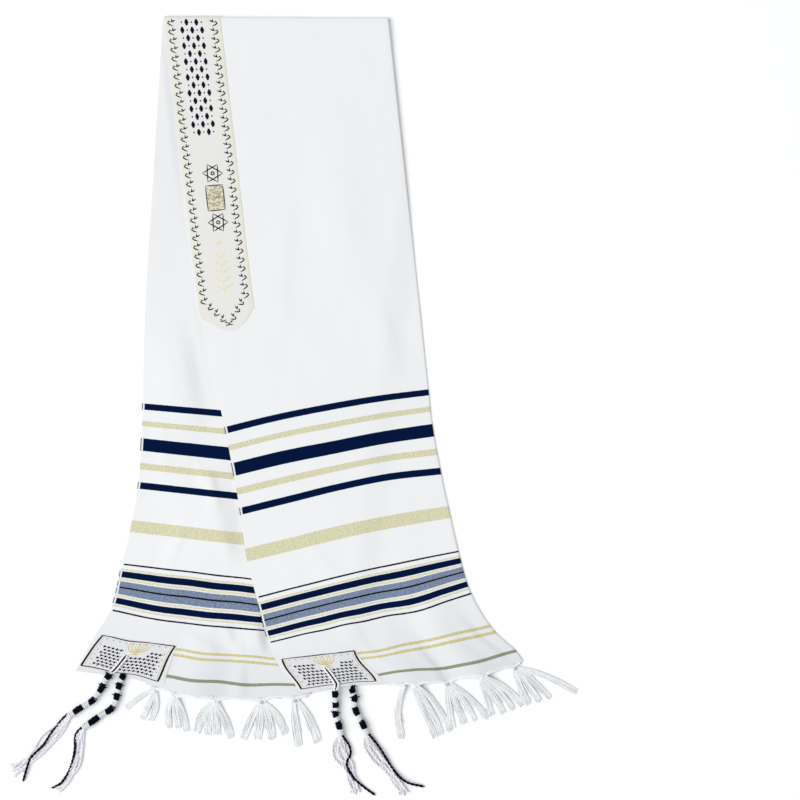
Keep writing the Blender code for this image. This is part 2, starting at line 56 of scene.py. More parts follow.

# %% [markdown]
# ## Where each weft thread lies
#
# A weft thread runs straight across the flat panel. Laid on the table, it becomes a slightly bowed
# line from the open edges to the side fold. If we know a dozen of these lines for each tail, every
# point of the cloth can be found between them, and the stripes will bend the way real ones do,
# because they are woven along the same lines. A cloth simulation could drape a flat sheet too, but it
# wouldn't stop at the very places where this shawl lies, so the lines are listed one by one.
#
# Sizes are in millimetres. The origin is on the table, X runs across and Y points to the top fold.

# %% Weft lines of both tails
TAIL = 915.0
WEFT_LINES = {
    # from the hem: (open edge x, y), (side fold x, y), (bow at a quarter, a half, three quarters)
    "front": {
        0: ((14, -384), (312, -341), (1, -7, -8)),
        17: ((6, -372), (302, -327), (-3, -5, -8)),
        48: ((-17, -345), (271, -298), (-5, -8, -4)),
        92: ((-30, -316), (242, -250), (0, -2, -5)),
        160: ((-46, -256), (225, -194), (2, 3, 2)),
        216: ((-60, -199), (213, -141), (2, 4, 3)),
        274: ((-68, -140), (201, -86), (3, 6, 6)),
        328: ((-78, -84), (191, -31), (3, 3, 3)),
        380: ((-88, -31), (185, 20), (4, 5, 4)),
        521: ((-120, 115), (171, 152), (3, 4, 3)),
        705: ((-144, 305), (152, 324), (1, 2, 1)),
        TAIL: ((-169, 520), (131, 519), (0, 0, 0)),
    },
    "back": {
        0: ((-289, -354), (27, -386), (-3, -16, -11)),
        17: ((-281, -338), (27, -373), (-7, -11, -8)),
        48: ((-267, -313), (30, -348), (-3, -3, 0)),
        92: ((-242, -272), (36, -309), (-5, -3, -1)),
        160: ((-227, -211), (46, -243), (0, 0, 0)),
        216: ((-215, -160), (53, -191), (0, 0, 0)),
        274: ((-205, -105), (60, -134), (0, 0, 0)),
        328: ((-201, -50), (67, -79), (0, 0, 0)),
        380: ((-199, 1), (74, -23), (0, 0, 0)),
        521: ((-195, 140), (89, 121), (0, 0, 0)),
        705: ((-184, 318), (110, 308), (0, 0, 0)),
        TAIL: ((-172, 520), (133, 519), (0, 0, 0)),
    },
}
print("weft lines:", {tail: len(lines) for tail, lines in WEFT_LINES.items()})

# %% Find any point between the lines
SLACK = 3.2
SLACK_REACH = 210


def ease(t):
    """From 0 to 1 with a soft start and a soft end."""
    t = min(max(t, 0.0), 1.0)
    return t * t * (3 - 2 * t)


def through(knots, values, at):
    """A smooth curve through values at rising knots."""
    last = len(knots) - 1
    i = 0
    while i < last - 1 and at > knots[i + 1]:
        i += 1

    def slope(k):
        a, b = max(k - 1, 0), min(k + 1, last)
        return (values[b] - values[a]) / (knots[b] - knots[a])

    run = knots[i + 1] - knots[i]
    t = (at - knots[i]) / run
    return (values[i] * (1 + 2 * t) * (1 - t) ** 2 + values[i + 1] * t * t * (3 - 2 * t)
            + slope(i) * run * t * (1 - t) ** 2 - slope(i + 1) * run * t * t * (1 - t))


@functools.lru_cache(maxsize=None)
def weft_line(tail, from_hem):
    """Start, span, upward direction and bows of the weft line at a distance from the hem."""
    lines = WEFT_LINES[tail]
    knots = list(lines)
    edge = Vector([through(knots, [line[0][i] for line in lines.values()], from_hem) for i in (0, 1)])
    fold = Vector([through(knots, [line[1][i] for line in lines.values()], from_hem) for i in (0, 1)])
    bows = [through(knots, [line[2][i] for line in lines.values()], from_hem) for i in range(3)]
    span = fold - edge
    return edge, span, Vector((-span.y, span.x)).normalized(), (0, *bows, 0)


def on_floor(tail, from_hem, share):
    """A point of a tail seen from above. Share runs from 0 at the open edges to 1 at the side fold.

    Near the hem the weft is a little slack, so its lines waver by a millimetre or two.
    """
    edge, span, upwards, bows = weft_line(tail, from_hem)
    slack = SLACK * (1 - ease(from_hem / SLACK_REACH)) * math.sin(share * math.pi)
    waver = noise.noise(Vector((share * 7.5, from_hem / 75, 1.7 if tail == "front" else 5.2)))
    bow = through((0, 0.25, 0.5, 0.75, 1), bows, share)
    return edge + span * share + upwards * (bow + slack * waver)


print("middle of the front hem:", [round(v) for v in on_floor("front", 0, 0.5)])

# %% [markdown]
# ## How high each layer lies
#
# Four layers lie on each other where the tails overlap. The lowest one lies on the table, each next
# one rests on the one below, and the front tail sinks to the table past the back tail's side fold.
# The patches and the half of the neckband that are underneath lift the cloth a little.
#
# Real cloth isn't ironed flat: it has soft ridges that start at the hem and fade out, and short
# creases where it was handled. Each gets a row in a table with its own place, turn, length and height.
# A crease rises slowly on its left and falls off quickly on its right, as cloth pushed from one side
# does. They could be sculpted, but a table is easy to read and to change.

# %% Soft ridges and creases
RIDGES = (
    # tail, share, from the hem, half width in shares, half length, height
    ("front", 0.52, 0, 0.16, 150, 5.0),
    ("front", 0.80, 0, 0.15, 190, 6.0),
    ("front", 0.70, 640, 0.20, 190, 2.0),
    ("back", 0.20, 300, 0.16, 160, 1.0),
    ("back", 0.52, 0, 0.16, 140, 5.0),
    ("back", 0.28, 120, 0.16, 110, 1.2),
)
CREASES = (
    # tail, share, from the hem, turn in degrees from the warp, half width, half length, height in mm
    ("back", -0.02, 450, 2, 110, 330, 3.0),
    ("back", -0.06, 720, 0, 75, 250, 5.0),
    ("back", 0.195, 425, 12, 27, 105, 3.8),
    ("back", 0.377, 283, 26, 8, 42, 2.6),
    ("back", 0.415, 240, 20, 36, 95, 5.0),
    ("back", 0.315, 300, 26, 5, 22, 1.2),
    ("back", 0.30, 500, 6, 9, 80, 1.6),
    ("back", 0.12, 330, 10, 10, 60, 0.8),
    ("back", 0.60, 78, 38, 6, 34, 2.0),
    ("back", 0.73, 78, 24, 17, 38, 4.8),
    ("back", 0.45, 70, 60, 7, 30, 1.2),
    ("back", 0.53, 62, 48, 5, 22, 1.2),
    ("back", 0.66, 66, 30, 5, 20, 1.6),
    ("back", 0.50, 205, 28, 8, 40, 1.0),
    ("back", 0.25, 195, -10, 10, 60, 0.9),
    ("back", 0.70, 20, 12, 9, 36, 2.0),
    ("back", 0.36, 25, -12, 8, 30, 1.6),
    ("front", 0.43, 60, 14, 12, 70, 1.3),
    ("front", 0.63, 20, -8, 9, 60, 2.0),
    ("front", 0.92, 34, 10, 8, 60, 1.8),
    ("front", 0.72, 120, -24, 9, 66, 1.0),
    ("front", 0.35, 190, 30, 12, 70, 0.8),
    ("front", 0.84, 470, 8, 16, 120, 1.0),
    ("front", 0.40, 560, -10, 18, 140, 0.9),
)
WIDTH = 285.0
SLOW_SIDE = 2.5
print("ridges:", len(RIDGES), "creases:", len(CREASES))

# %% How the upper layers ripple
OVERLAP_EASE = 9


@functools.lru_cache(maxsize=None)
def fold_line(tail, which):
    """The open edge (0) or the side fold (1) of a tail, as rising Y values with their X."""
    points = sorted((line[which][1], line[which][0]) for line in WEFT_LINES[tail].values())
    return [p[0] for p in points], [p[1] for p in points]


def line_x(tail, which, y):
    """X of a tail's open edge or side fold at a height Y."""
    ys, xs = fold_line(tail, which)
    return through(ys, xs, min(max(y, ys[0]), ys[-1]))


def ripple(tail, from_hem, share):
    """Height of the soft ridges, creases and faint unevenness of a tail's upper layer.

    Creases of the back tail die out under the front tail, which presses them flat.
    """
    height = 0.0
    for name, mid_share, mid_row, half_width, half_length, rise in RIDGES:
        across, along = (share - mid_share) / half_width, (from_hem - mid_row) / half_length
        if name == tail and abs(across) < 1 and abs(along) < 1:
            height += rise * math.cos(across * math.pi / 2) ** 2 * math.cos(along * math.pi / 2) ** 2
    small = 0.0
    for name, mid_share, mid_row, turn, half_width, half_length, rise in CREASES:
        if name != tail:
            continue
        x, y = (share - mid_share) * WIDTH, from_hem - mid_row
        turn = math.radians(turn)
        across = (x * math.cos(turn) + y * math.sin(turn)) / half_width
        across /= SLOW_SIDE if across < 0 else 1
        along = (y * math.cos(turn) - x * math.sin(turn)) / half_length
        if abs(across) < 1 and abs(along) < 1:
            small += rise * math.cos(across * math.pi / 2) ** 2 * math.cos(along * math.pi / 2) ** 2
    seed = 3.1 if tail == "front" else 8.7
    faint = 0.45 * noise.noise(Vector((share * WIDTH / 38, from_hem / 60, seed)))
    faint += 0.15 * noise.noise(Vector((share * WIDTH / 14, from_hem / 24, seed)))
    if tail == "back":
        point = on_floor(tail, from_hem, share)
        shows = ease((line_x("front", 0, point.y) - point.x) / OVERLAP_EASE)
        small *= shows
        faint *= 0.3 + 0.7 * shows
    return height + small + faint


print("ripple at the middle of the front hem:", round(ripple("front", 0, 0.5), 1), "mm")

# %% How the layers lie on each other
WALL = 1.0
LAYER_GAP = 0.5
SEWN_LIFT = 1.1
FOLD_REACH = 1.75
BAND_END = 526
BAND_SHARE = 0.25
BAND_MARGIN, BAND_RAMP = 30, 130
PATCH_TOP = 58
PATCH_SHARE = 0.375
PATCH_RAMP, PATCH_SHARE_RAMP = 57, 0.225
DRAPE_START, DRAPE_RAMP = 34, 42
TOP_PUFF, TOP_PUFF_RAMP = 1.2, 60


def support(tail, from_hem, share):
    """Height of the surface under a tail.

    The neckband and the patches below it lift it, and so does the back tail under the front one.
    """
    point = on_floor(tail, from_hem, share)
    low, high = on_floor("back", BAND_END, 0), on_floor("back", TAIL, BAND_SHARE)
    beside = max(point.x - high.x, point.x - on_floor("back", BAND_END, BAND_SHARE).x, 0)
    away = math.hypot(beside, max(low.y - point.y, 0)) - BAND_MARGIN
    height = SEWN_LIFT * (1 - ease(away / BAND_RAMP))
    up, over = ease((from_hem - PATCH_TOP) / PATCH_RAMP), ease((share - PATCH_SHARE) / PATCH_SHARE_RAMP)
    height += SEWN_LIFT * (1 - up) * (1 - over)
    if tail == "front":
        past_fold = point.x - line_x("back", 1, point.y) - DRAPE_START
        height += (2 * WALL + 2 * LAYER_GAP) * (1 - ease(past_fold / DRAPE_RAMP))
        height += TOP_PUFF * ease(1 - (TAIL - from_hem) / TOP_PUFF_RAMP)
    return height


@functools.lru_cache(maxsize=None)
def on_cloth(tail, from_hem, share, upper):
    """A point in the middle of the cloth's thickness, in a tail's upper or under layer."""
    outwards = (on_floor(tail, from_hem, 1) - on_floor(tail, from_hem, 0.9)).normalized()
    point = on_floor(tail, from_hem, share) - outwards * FOLD_REACH * share
    height = support(tail, from_hem, share) + WALL / 2
    if upper:
        height += WALL + LAYER_GAP + ripple(tail, from_hem, share)
    return Vector((*point, height))


print("height of the front tail's hem at its middle:", round(on_cloth("front", 0, 0.5, True).z, 1), "mm")

# %% [markdown]
# ## The cloth
#
# The real panel is light plain-woven wool, about 0.7 mm thick, 0.57 m wide and 1.84 m long. Here it
# is a grid whose columns follow the warp and whose rows follow the weft. We walk across one layer,
# round the side fold and back across the other layer, and do so for every row: up the front tail,
# round the top fold and down the back tail. Four loose sheets would be easier to make, but they would
# have no folds. Because each point knows where it was on the flat panel, the UV map can hold that
# place in metres, and stripes can be painted on the panel as a weaver plans them.

# %% A helper that lays a grid of points and gives it a thickness
def lay_sheet(name, columns, rows, place, thickness):
    """A sheet whose points are placed one by one. place(column, row) gives the point and its UV."""
    bpy.ops.object.select_all(action="DESELECT")
    bpy.ops.mesh.primitive_grid_add(x_subdivisions=columns - 1, y_subdivisions=rows - 1, size=1)
    piece = bpy.context.active_object
    piece.name = piece.data.name = name
    mesh = piece.data
    spots = []
    for vertex in mesh.vertices:
        column = round((vertex.co.x + 0.5) * (columns - 1))
        row = round((vertex.co.y + 0.5) * (rows - 1))
        spots.append(place(column, row))
    mesh.vertices.foreach_set("co", [value * MM for point, uv in spots for value in point])
    uv_map = mesh.uv_layers.active.data
    for loop in mesh.loops:
        uv_map[loop.index].uv = spots[loop.vertex_index][1]
    wall = piece.modifiers.new("Wall", "SOLIDIFY")
    wall.thickness = thickness * MM
    wall.offset = 0
    wall.use_even_offset = False
    bpy.ops.object.modifier_apply(modifier=wall.name)
    bpy.ops.object.shade_smooth_by_angle(angle=math.radians(50))
    print(name, sum(len(p.vertices) - 2 for p in mesh.polygons), "triangles")
    return piece


# %% Fold the panel
CLOTH = 0.7
LAYER_COLUMNS = 75
FOLD_COLUMNS = 5
TOP_STEPS = 8
ROWS = [4 * i for i in range(48)] + [192 + 6 * i for i in range(49)] + [486 + 9 * i for i in range(48)]
ROWS = [v for v in ROWS if v < TAIL - 3] + [TAIL]
PANEL_WIDTH = 2 * WIDTH + 4
PANEL_LENGTH = 2 * TAIL + 8
COLUMNS = 2 * LAYER_COLUMNS + FOLD_COLUMNS


def panel_point(tail, from_hem, column):
    """A point of the folded panel. The first layer is the one that carries the neckband."""
    first_up = tail == "front"
    if column < LAYER_COLUMNS:
        return on_cloth(tail, from_hem, column / (LAYER_COLUMNS - 1), first_up)
    if column >= LAYER_COLUMNS + FOLD_COLUMNS:
        return on_cloth(tail, from_hem, (COLUMNS - 1 - column) / (LAYER_COLUMNS - 1), not first_up)
    start, end = on_cloth(tail, from_hem, 1.0, first_up), on_cloth(tail, from_hem, 1.0, not first_up)
    turn = (column - LAYER_COLUMNS + 1) / (FOLD_COLUMNS + 1) * math.pi
    outwards = (on_floor(tail, from_hem, 1) - on_floor(tail, from_hem, 0.9)).normalized()
    flat = start.lerp(end, (1 - math.cos(turn)) / 2)
    return flat + Vector((*outwards, 0)) * (FOLD_REACH - WALL / 2) * math.sin(turn)


def place_on_panel(column, row):
    """Where the grid's point goes: up the front tail, round the top fold and down the back tail."""
    across = column / (COLUMNS - 1) * PANEL_WIDTH
    if row < len(ROWS):
        return panel_point("front", ROWS[row], column), (across * MM, ROWS[row] * MM)
    if row >= len(ROWS) + TOP_STEPS:
        from_hem = ROWS[2 * len(ROWS) + TOP_STEPS - 1 - row]
        return panel_point("back", from_hem, column), (across * MM, (PANEL_LENGTH - from_hem) * MM)
    part = (row - len(ROWS) + 1) / (TOP_STEPS + 1)
    front, back = panel_point("front", TAIL, column), panel_point("back", TAIL, column)
    point = front.lerp(back, (1 - math.cos(part * math.pi)) / 2)
    point.y = front.lerp(back, part).y + (front.z - back.z) / 2 * math.sin(part * math.pi)
    return point, (across * MM, (TAIL + part * (PANEL_LENGTH - 2 * TAIL)) * MM)


cloth = lay_sheet("cloth", COLUMNS, 2 * len(ROWS) + TOP_STEPS, place_on_panel, CLOTH)

# %% [markdown]
# ## The neckband
#
# The neckband is a firm woven ribbon with a rounded end, sewn along one long edge of the shawl at
# the middle of its length, so it wraps over the top fold. It lies on the cloth and its rim is turned
# under, which is why its edges dip to the cloth and its middle stands a little proud. A flat ribbon
# could be wrapped onto the cloth with a Shrinkwrap modifier. Here its points are taken straight from
# the cloth below it, so it follows each ridge and keeps its width.

# %% Lay the neckband
BAND_WIDTH = 73.0
BAND_COLUMNS = 19
BAND_TONGUE = (524, 509, 502, 508, 527)
BAND_THICK = 0.5
RIM = 2.5


def rim_drop(*inside):
    """How far a sewn piece dips at its rim, from its distances to its edges."""
    return 0.3 * (1 - ease(min(inside) / RIM))


def tongue(across):
    """Distance from the hem of the neckband's rounded end."""
    quarter = BAND_WIDTH / 4
    return through([quarter * i for i in range(5)], BAND_TONGUE, across)


def on_band(tail, across, from_hem, lift=0.0):
    """A point on the neckband, across from its outer edge and up from the hem, in millimetres."""
    share = across / BAND_WIDTH * BAND_SHARE
    point = on_cloth(tail, from_hem, share, tail == "front").copy()
    inside = (across, BAND_WIDTH - across, (from_hem - tongue(across)) * 0.9)
    side = 1 if tail == "front" else -1
    point.z += side * (CLOTH / 2 + 0.55 - rim_drop(*inside) + lift)
    return point


BAND_ROWS = [0, 0.8, 1.8, 3.2] + [8 * i for i in range(1, 50)]


def place_on_band(column, row):
    """Up the front, round the top fold and down the hidden side of the neckband."""
    across = column / (BAND_COLUMNS - 1) * BAND_WIDTH
    widen = 1 + 0.02 * (1 - abs(2 * across / BAND_WIDTH - 1))
    across = BAND_WIDTH / 2 + (across - BAND_WIDTH / 2) * widen
    per_side = len(BAND_ROWS)
    end = tongue(across)
    if row < per_side or row >= per_side + TOP_STEPS:
        tail = "front" if row < per_side else "back"
        step = row if tail == "front" else 2 * per_side + TOP_STEPS - 1 - row
        from_hem = end + BAND_ROWS[step] / BAND_ROWS[-1] * (TAIL - end)
        run = from_hem if tail == "front" else PANEL_LENGTH - from_hem
        return on_band(tail, across, from_hem), (across * MM, run * MM)
    part = (row - per_side + 1) / (TOP_STEPS + 1)
    front, back = on_band("front", across, TAIL), on_band("back", across, TAIL)
    point = front.lerp(back, (1 - math.cos(part * math.pi)) / 2)
    point.y = front.lerp(back, part).y + (front.z - back.z) / 2 * math.sin(part * math.pi)
    return point, (across * MM, (TAIL + part * (PANEL_LENGTH - 2 * TAIL)) * MM)


neckband = lay_sheet("neckband", BAND_COLUMNS, 2 * len(BAND_ROWS) + TOP_STEPS, place_on_band, BAND_THICK)

# %% [markdown]
# ## The corner patches
#
# A small woven patch strengthens each corner, where the tassel's cord goes through. Two show and two
# are under the tails. Like the neckband, each is laid from the points of the cloth it is sewn to, on
# the face that turns outwards. One rule makes all four, so that they are alike as sewn patches are.

# %% Lay the four patches
PATCH_WIDTH = 112.0
PATCH_BOTTOM = 6.0
PATCH_HEIGHT = PATCH_TOP - PATCH_BOTTOM
PATCH_COLUMNS = 33
PATCH_ROWS = 19


def on_patch(tail, shown, across, up, lift=0.0):
    """A point on a patch, across from the shawl's edge and up from the patch's lower edge."""
    point = on_cloth(tail, PATCH_BOTTOM + up, across / PATCH_WIDTH * PATCH_SHARE, shown).copy()
    inside = (across, PATCH_WIDTH - across, up, PATCH_HEIGHT - up)
    point.z += (1 if shown else -1) * (CLOTH / 2 + 0.55 - rim_drop(*inside) + lift)
    return point


def place_on_patch(tail, shown):
    """Make the placing rule of one patch."""
    def place(column, row):
        if not shown:
            column = PATCH_COLUMNS - 1 - column
        across = column / (PATCH_COLUMNS - 1) * PATCH_WIDTH
        up = row / (PATCH_ROWS - 1) * PATCH_HEIGHT
        return on_patch(tail, shown, across, up), (across * MM, up * MM)
    return place


CORNERS = {
    "front": ("front", True),
    "front_under": ("front", False),
    "back": ("back", True),
    "back_under": ("back", False),
}
patches = {}
for corner, (tail, shown) in CORNERS.items():
    patches[corner] = lay_sheet(
        "patch_" + corner, PATCH_COLUMNS, PATCH_ROWS, place_on_patch(tail, shown), BAND_THICK)

# %% [markdown]
# ## Thread, cord and stitches
#
# Fringe, tassels and embroidery are all thread, so two small tools are enough. A tube follows a
# route of points and can hold a loose thread or a cord. A stitch is a flatter thread that lies on a
# surface, pointed at both ends like satin stitch. Both are closed, so no holes show from any side.
# Curves with a bevel could give the tubes too, but a mesh made point by point keeps them light, and
# whatever would dip under the table is pressed flat on it.

# %% Tube and stitch tools
TABLE_GAP = 0.1


def tube(bm, route, radii, sides, slot=0):
    """A closed tube along a route of points in millimetres, turning as little as it can."""
    ahead = (route[1] - route[0]).normalized()
    side = ahead.cross(Vector((0, 0, 1)))
    if side.length < 0.1:
        side = ahead.cross(Vector((0, 1, 0)))
    side.normalize()
    before = None
    last = len(route) - 1
    for i, point in enumerate(route):
        ahead = (route[min(i + 1, last)] - route[max(i - 1, 0)]).normalized()
        side = (side - ahead * side.dot(ahead)).normalized()
        up = ahead.cross(side)
        radius = radii[i] if hasattr(radii, "__len__") else radii
        ring = []
        for k in range(sides):
            angle = math.tau * k / sides
            out = side * math.cos(angle) + up * math.sin(angle)
            ring.append(bm.verts.new(point + out * radius))
        if before:
            for k in range(sides):
                n = (k + 1) % sides
                bm.faces.new((before[k], before[n], ring[n], ring[k])).material_index = slot
        else:
            bm.faces.new(ring[::-1]).material_index = slot
        before = ring
    bm.faces.new(before).material_index = slot


def stitch(bm, surface, line, width, slot=0, height=0.3, pointed=True):
    """A thread on a surface along a line of flat points. surface(x, y, lift) gives the place."""
    lows, highs = [], []
    last = len(line) - 1
    for i, (x, y) in enumerate(line):
        (x0, y0), (x1, y1) = line[max(i - 1, 0)], line[min(i + 1, last)]
        run = math.hypot(x1 - x0, y1 - y0) or 1
        end = pointed and i in (0, last)
        half = width / 2 * (0.35 if end else 1)
        nx, ny = -(y1 - y0) / run * half, (x1 - x0) / run * half
        lows.append([bm.verts.new(surface(x + a * nx, y + a * ny, 0.0)) for a in (-1, 1)])
        highs.append(bm.verts.new(surface(x, y, height * (0.4 if end else 1))))
    for i in range(last):
        for a in (0, 1):
            bm.faces.new((lows[i][a], lows[i + 1][a], highs[i + 1], highs[i])).material_index = slot
        bm.faces.new((lows[i][0], lows[i][1], lows[i + 1][1], lows[i + 1][0])).material_index = slot
    for i in (0, last):
        bm.faces.new((*lows[i], highs[i])).material_index = slot


def finish_threads(name, bm, smooth=True):
    """Turn threads drawn in millimetres into a piece in metres, with none below the table."""
    for vertex in bm.verts:
        vertex.co.z = max(vertex.co.z, TABLE_GAP)
    bmesh.ops.recalc_face_normals(bm, faces=bm.faces)
    bmesh.ops.scale(bm, vec=(MM, MM, MM), verts=bm.verts)
    mesh = bpy.data.meshes.new(name)
    for face in bm.faces:
        face.smooth = smooth
    bm.to_mesh(mesh)
    bm.free()
    piece = bpy.data.objects.new(name, mesh)
    bpy.context.scene.collection.objects.link(piece)
    print(name, sum(len(p.vertices) - 2 for p in mesh.polygons), "triangles")
    return piece


def straight(a, b, steps):
    """Points from a to b."""
    return [(a[0] + (b[0] - a[0]) * t / steps, a[1] + (b[1] - a[1]) * t / steps) for t in range(steps + 1)]


def arc(x, y, radius_x, radius_y, start, end, steps):
    """Points on part of an ellipse, with angles in degrees."""
    points = []
    for i in range(steps + 1):
        angle = math.radians(start + (end - start) * i / steps)
        points.append((x + radius_x * math.cos(angle), y + radius_y * math.sin(angle)))
    return points


print("tools ready, threads stay", TABLE_GAP, "mm above the table")

# %% [markdown]
# ## What is woven into the neckband
#
# A row of small dark leaves follows the neckband's whole border, round its end too. Inside it are a
# field of navy diamonds, two six-pointed stars with a golden panel between them, and a golden sprig.
# The pattern could be painted in the material, but woven threads stand a little proud and catch the
# light, so each is a stitch of its own. The leaf is drawn once, from three short stitches, and set
# down again and again along the border.

# %% Motifs of the neckband
LEAF = (
    ((-4.4, 3.0), (-2.2, 1.5), (0.6, 0.4)),
    ((-0.8, 4.4), (-0.6, 2.4), (0.5, 0.6)),
    ((1.2, 0.2), (3.0, 1.5), (4.6, -0.8), (2.4, -2.6), (-1.7, -4.4)),
)
LEAF_PITCH = 11.75
LEAF_THREAD = 1.9
LEAF_SIZE = 1.12
GREY, NAVY, GOLD, TAN, STRAW = range(5)


def band_surface(tail):
    """The neckband's top as a surface to draw on: x across from its outer edge, y up from the hem."""
    side = BAND_THICK / 2
    return lambda x, y, lift: on_band(tail, min(max(x, 0.3), BAND_WIDTH - 0.3), y, side + lift)


def set_down(bm, surface, motif, x, y, turn, width, slot, mirror=1, size=1.0):
    """Draw a motif's lines at a place, turned and, with mirror -1, flipped."""
    c, s = math.cos(turn) * size, math.sin(turn) * size
    for line in motif:
        points = [(x + mirror * px * c - py * s, y + mirror * px * s + py * c) for px, py in line]
        stitch(bm, surface, points, width, slot)


def star(radius):
    """The six sides of two crossed triangles, each as a line."""
    lines = []
    for start in (90, 270):
        angles = [math.radians(start + 120 * k) for k in (0, 1, 2, 0)]
        corners = [(radius * math.cos(angle), radius * math.sin(angle)) for angle in angles]
        lines += [straight(a, b, 4) for a, b in zip(corners, corners[1:])]
    return lines


def diamond(bm, surface, x, y, half_wide, half_high, slot):
    """A filled diamond: a short, very wide stitch."""
    stitch(bm, surface, [(x, y - half_high), (x, y), (x, y + half_high)], 2 * half_wide, slot)


def weave_panel(bm, surface, x, y):
    """A small golden panel in two halves with a grey frame."""
    half_wide, half_high = 11.5, 16.5
    grain = random.Random(3)
    for k in range(15):
        column = x - half_wide + 1.0 + 1.5 * k
        for row in range(17):
            low = y - half_high + 1 + 1.8 * row + 0.6 * (k % 2)
            line = [(column, low), (column, low + 0.9), (column, low + 1.8)]
            stitch(bm, surface, line, 1.5, TAN if grain.random() < 0.55 else STRAW, 0.2, False)
    signs = ((-1, -1), (-1, 1), (1, 1), (1, -1), (-1, -1))
    corners = [(x + a * half_wide, y + b * half_high) for a, b in signs]
    for a, b in zip(corners, corners[1:]):
        stitch(bm, surface, straight(a, b, 4), 1.5, GREY)
    stitch(bm, surface, [(x - half_wide + 1, y), (x, y), (x + half_wide - 1, y)], 0.9, GREY)


def weave_sprig(bm, surface, x, y):
    """A golden stem with five pairs of leaves and a bud."""
    stitch(bm, surface, [(x, y + 7 * k) for k in range(10)], 1.0, GOLD)
    for k in range(5):
        base = y + 6 + 10.5 * k
        length = 13.5 - 1.4 * k
        for side in (-1, 1):
            rise = [7.5 * math.sin(t / 4 * math.pi / 2) for t in range(5)]
            line = [(x + side * length * t / 4, base + rise[t]) for t in range(5)]
            stitch(bm, surface, line, 1.6, GOLD)
            vein = [(x + side * length * 0.5, base + 1.2), (x + side * length * 0.8, base + 3.4)]
            stitch(bm, surface, vein, 0.8, GOLD)
    for turn in range(0, 360, 60):
        angle = math.radians(turn)
        tip = (x + 5.0 * math.cos(angle), y + 69 + 5.0 * math.sin(angle))
        stitch(bm, surface, [(x, y + 69), ((x + tip[0]) / 2, (y + 69 + tip[1]) / 2), tip], 1.8, GOLD)


print("lines in a leaf:", len(LEAF), "lines in a star:", len(star(1.0)))

# %% Weave the neckband's pattern
LEFT_COLUMN, RIGHT_COLUMN = 8.5, BAND_WIDTH - 10.0
COLUMN_END, TIP_ROW = 546.0, 511
FIELD_LOW, FIELD_PITCH, FIELD_ROWS = 765, 10.4, 15
STAR_ROWS = (710, 645)
PANEL_ROW, SPRIG_ROW = 677.5, 549
OFF_MIDDLE = 3


def weave_band(bm, tail):
    """The whole pattern on one side of the neckband."""
    surface = band_surface(tail)
    middle = BAND_WIDTH / 2
    for k in range(int((TAIL - 4 - COLUMN_END) / LEAF_PITCH) + 1):
        y = COLUMN_END + LEAF_PITCH * k
        set_down(bm, surface, LEAF, LEFT_COLUMN, y, 0, LEAF_THREAD, GREY, -1, LEAF_SIZE)
        set_down(bm, surface, LEAF, RIGHT_COLUMN, y, 0, LEAF_THREAD, GREY, 1, LEAF_SIZE)
    lean = math.radians(38)
    for t in (0.25, 0.5, 0.75):
        y = COLUMN_END + (TIP_ROW - COLUMN_END) * t
        left, right = LEFT_COLUMN + (middle - LEFT_COLUMN) * t, RIGHT_COLUMN + (middle - RIGHT_COLUMN) * t
        set_down(bm, surface, LEAF, left, y, lean, LEAF_THREAD, GREY, mirror=-1)
        set_down(bm, surface, LEAF, right, y, -lean, LEAF_THREAD, GREY)
    for side in (-1, 1):
        x, y = middle + side * 3.2, TIP_ROW + 1.5
        set_down(bm, surface, LEAF, x, y, side * 0.35, 1.5, GREY, mirror=-side, size=0.75)
    wide, narrow = (-13, 0, 13), (-6.5, 6.5)
    for row in range(FIELD_ROWS):
        y = FIELD_LOW + FIELD_PITCH * row
        large, small = (wide, narrow) if row % 2 else (narrow, wide)
        for x in large:
            diamond(bm, surface, middle + x - 2, y, 2.9, 4.3, NAVY)
        for x in small:
            diamond(bm, surface, middle + x - 2, y, 1.0, 1.3, NAVY)
    for y in STAR_ROWS:
        set_down(bm, surface, star(13.5), middle + OFF_MIDDLE, y, math.radians(26), 1.6, GREY)
        set_down(bm, surface, star(3.2), middle + OFF_MIDDLE, y, 0, 1.0, GREY)
    weave_panel(bm, surface, middle + OFF_MIDDLE, PANEL_ROW)
    weave_sprig(bm, surface, middle, SPRIG_ROW)


bm = bmesh.new()
for tail in ("front", "back"):
    weave_band(bm, tail)
band_pattern = finish_threads("neckband_pattern", bm, smooth=False)

# %% [markdown]
# ## What is woven into the patches
#
# Each patch has a black bar near both short sides, thin dark lines along the long ones, a thin gold
# line and a row of dots inside them, and a golden seven-branched lamp at the top. The field under the
# lamp is filled with a regular lattice of small diamonds. The hole for the cord has a sewn rim. The
# same stitches draw all of it, so that the patches and the neckband look like work of one loom.

# %% Weave the patches' pattern
HOLE = {"front": (57, 31), "back": (52.5, 31)}
PATCH_LEAN = 3.5
LAMP_FOOT, LAMP_ARMS, LAMP_TOP = 32.4, 43.5, 48.6
BLACK, PATCH_GOLD, RIM_WHITE = range(3)


def patch_surface(tail, shown):
    """A patch's outer face as a surface to draw on. Woven lines waver by about half a millimetre."""
    def surface(x, y, lift):
        waver_x, waver_y = 0.5 * math.sin(y / 9 + 1), 0.6 * math.sin(x / 10)
        x = min(max(x + waver_x, 0.2), PATCH_WIDTH - 0.2)
        y = min(max(y + waver_y, 0.2), PATCH_HEIGHT - 0.2)
        return on_patch(tail, shown, x, y, BAND_THICK / 2 + lift * (1 if shown else 0.4))
    return surface


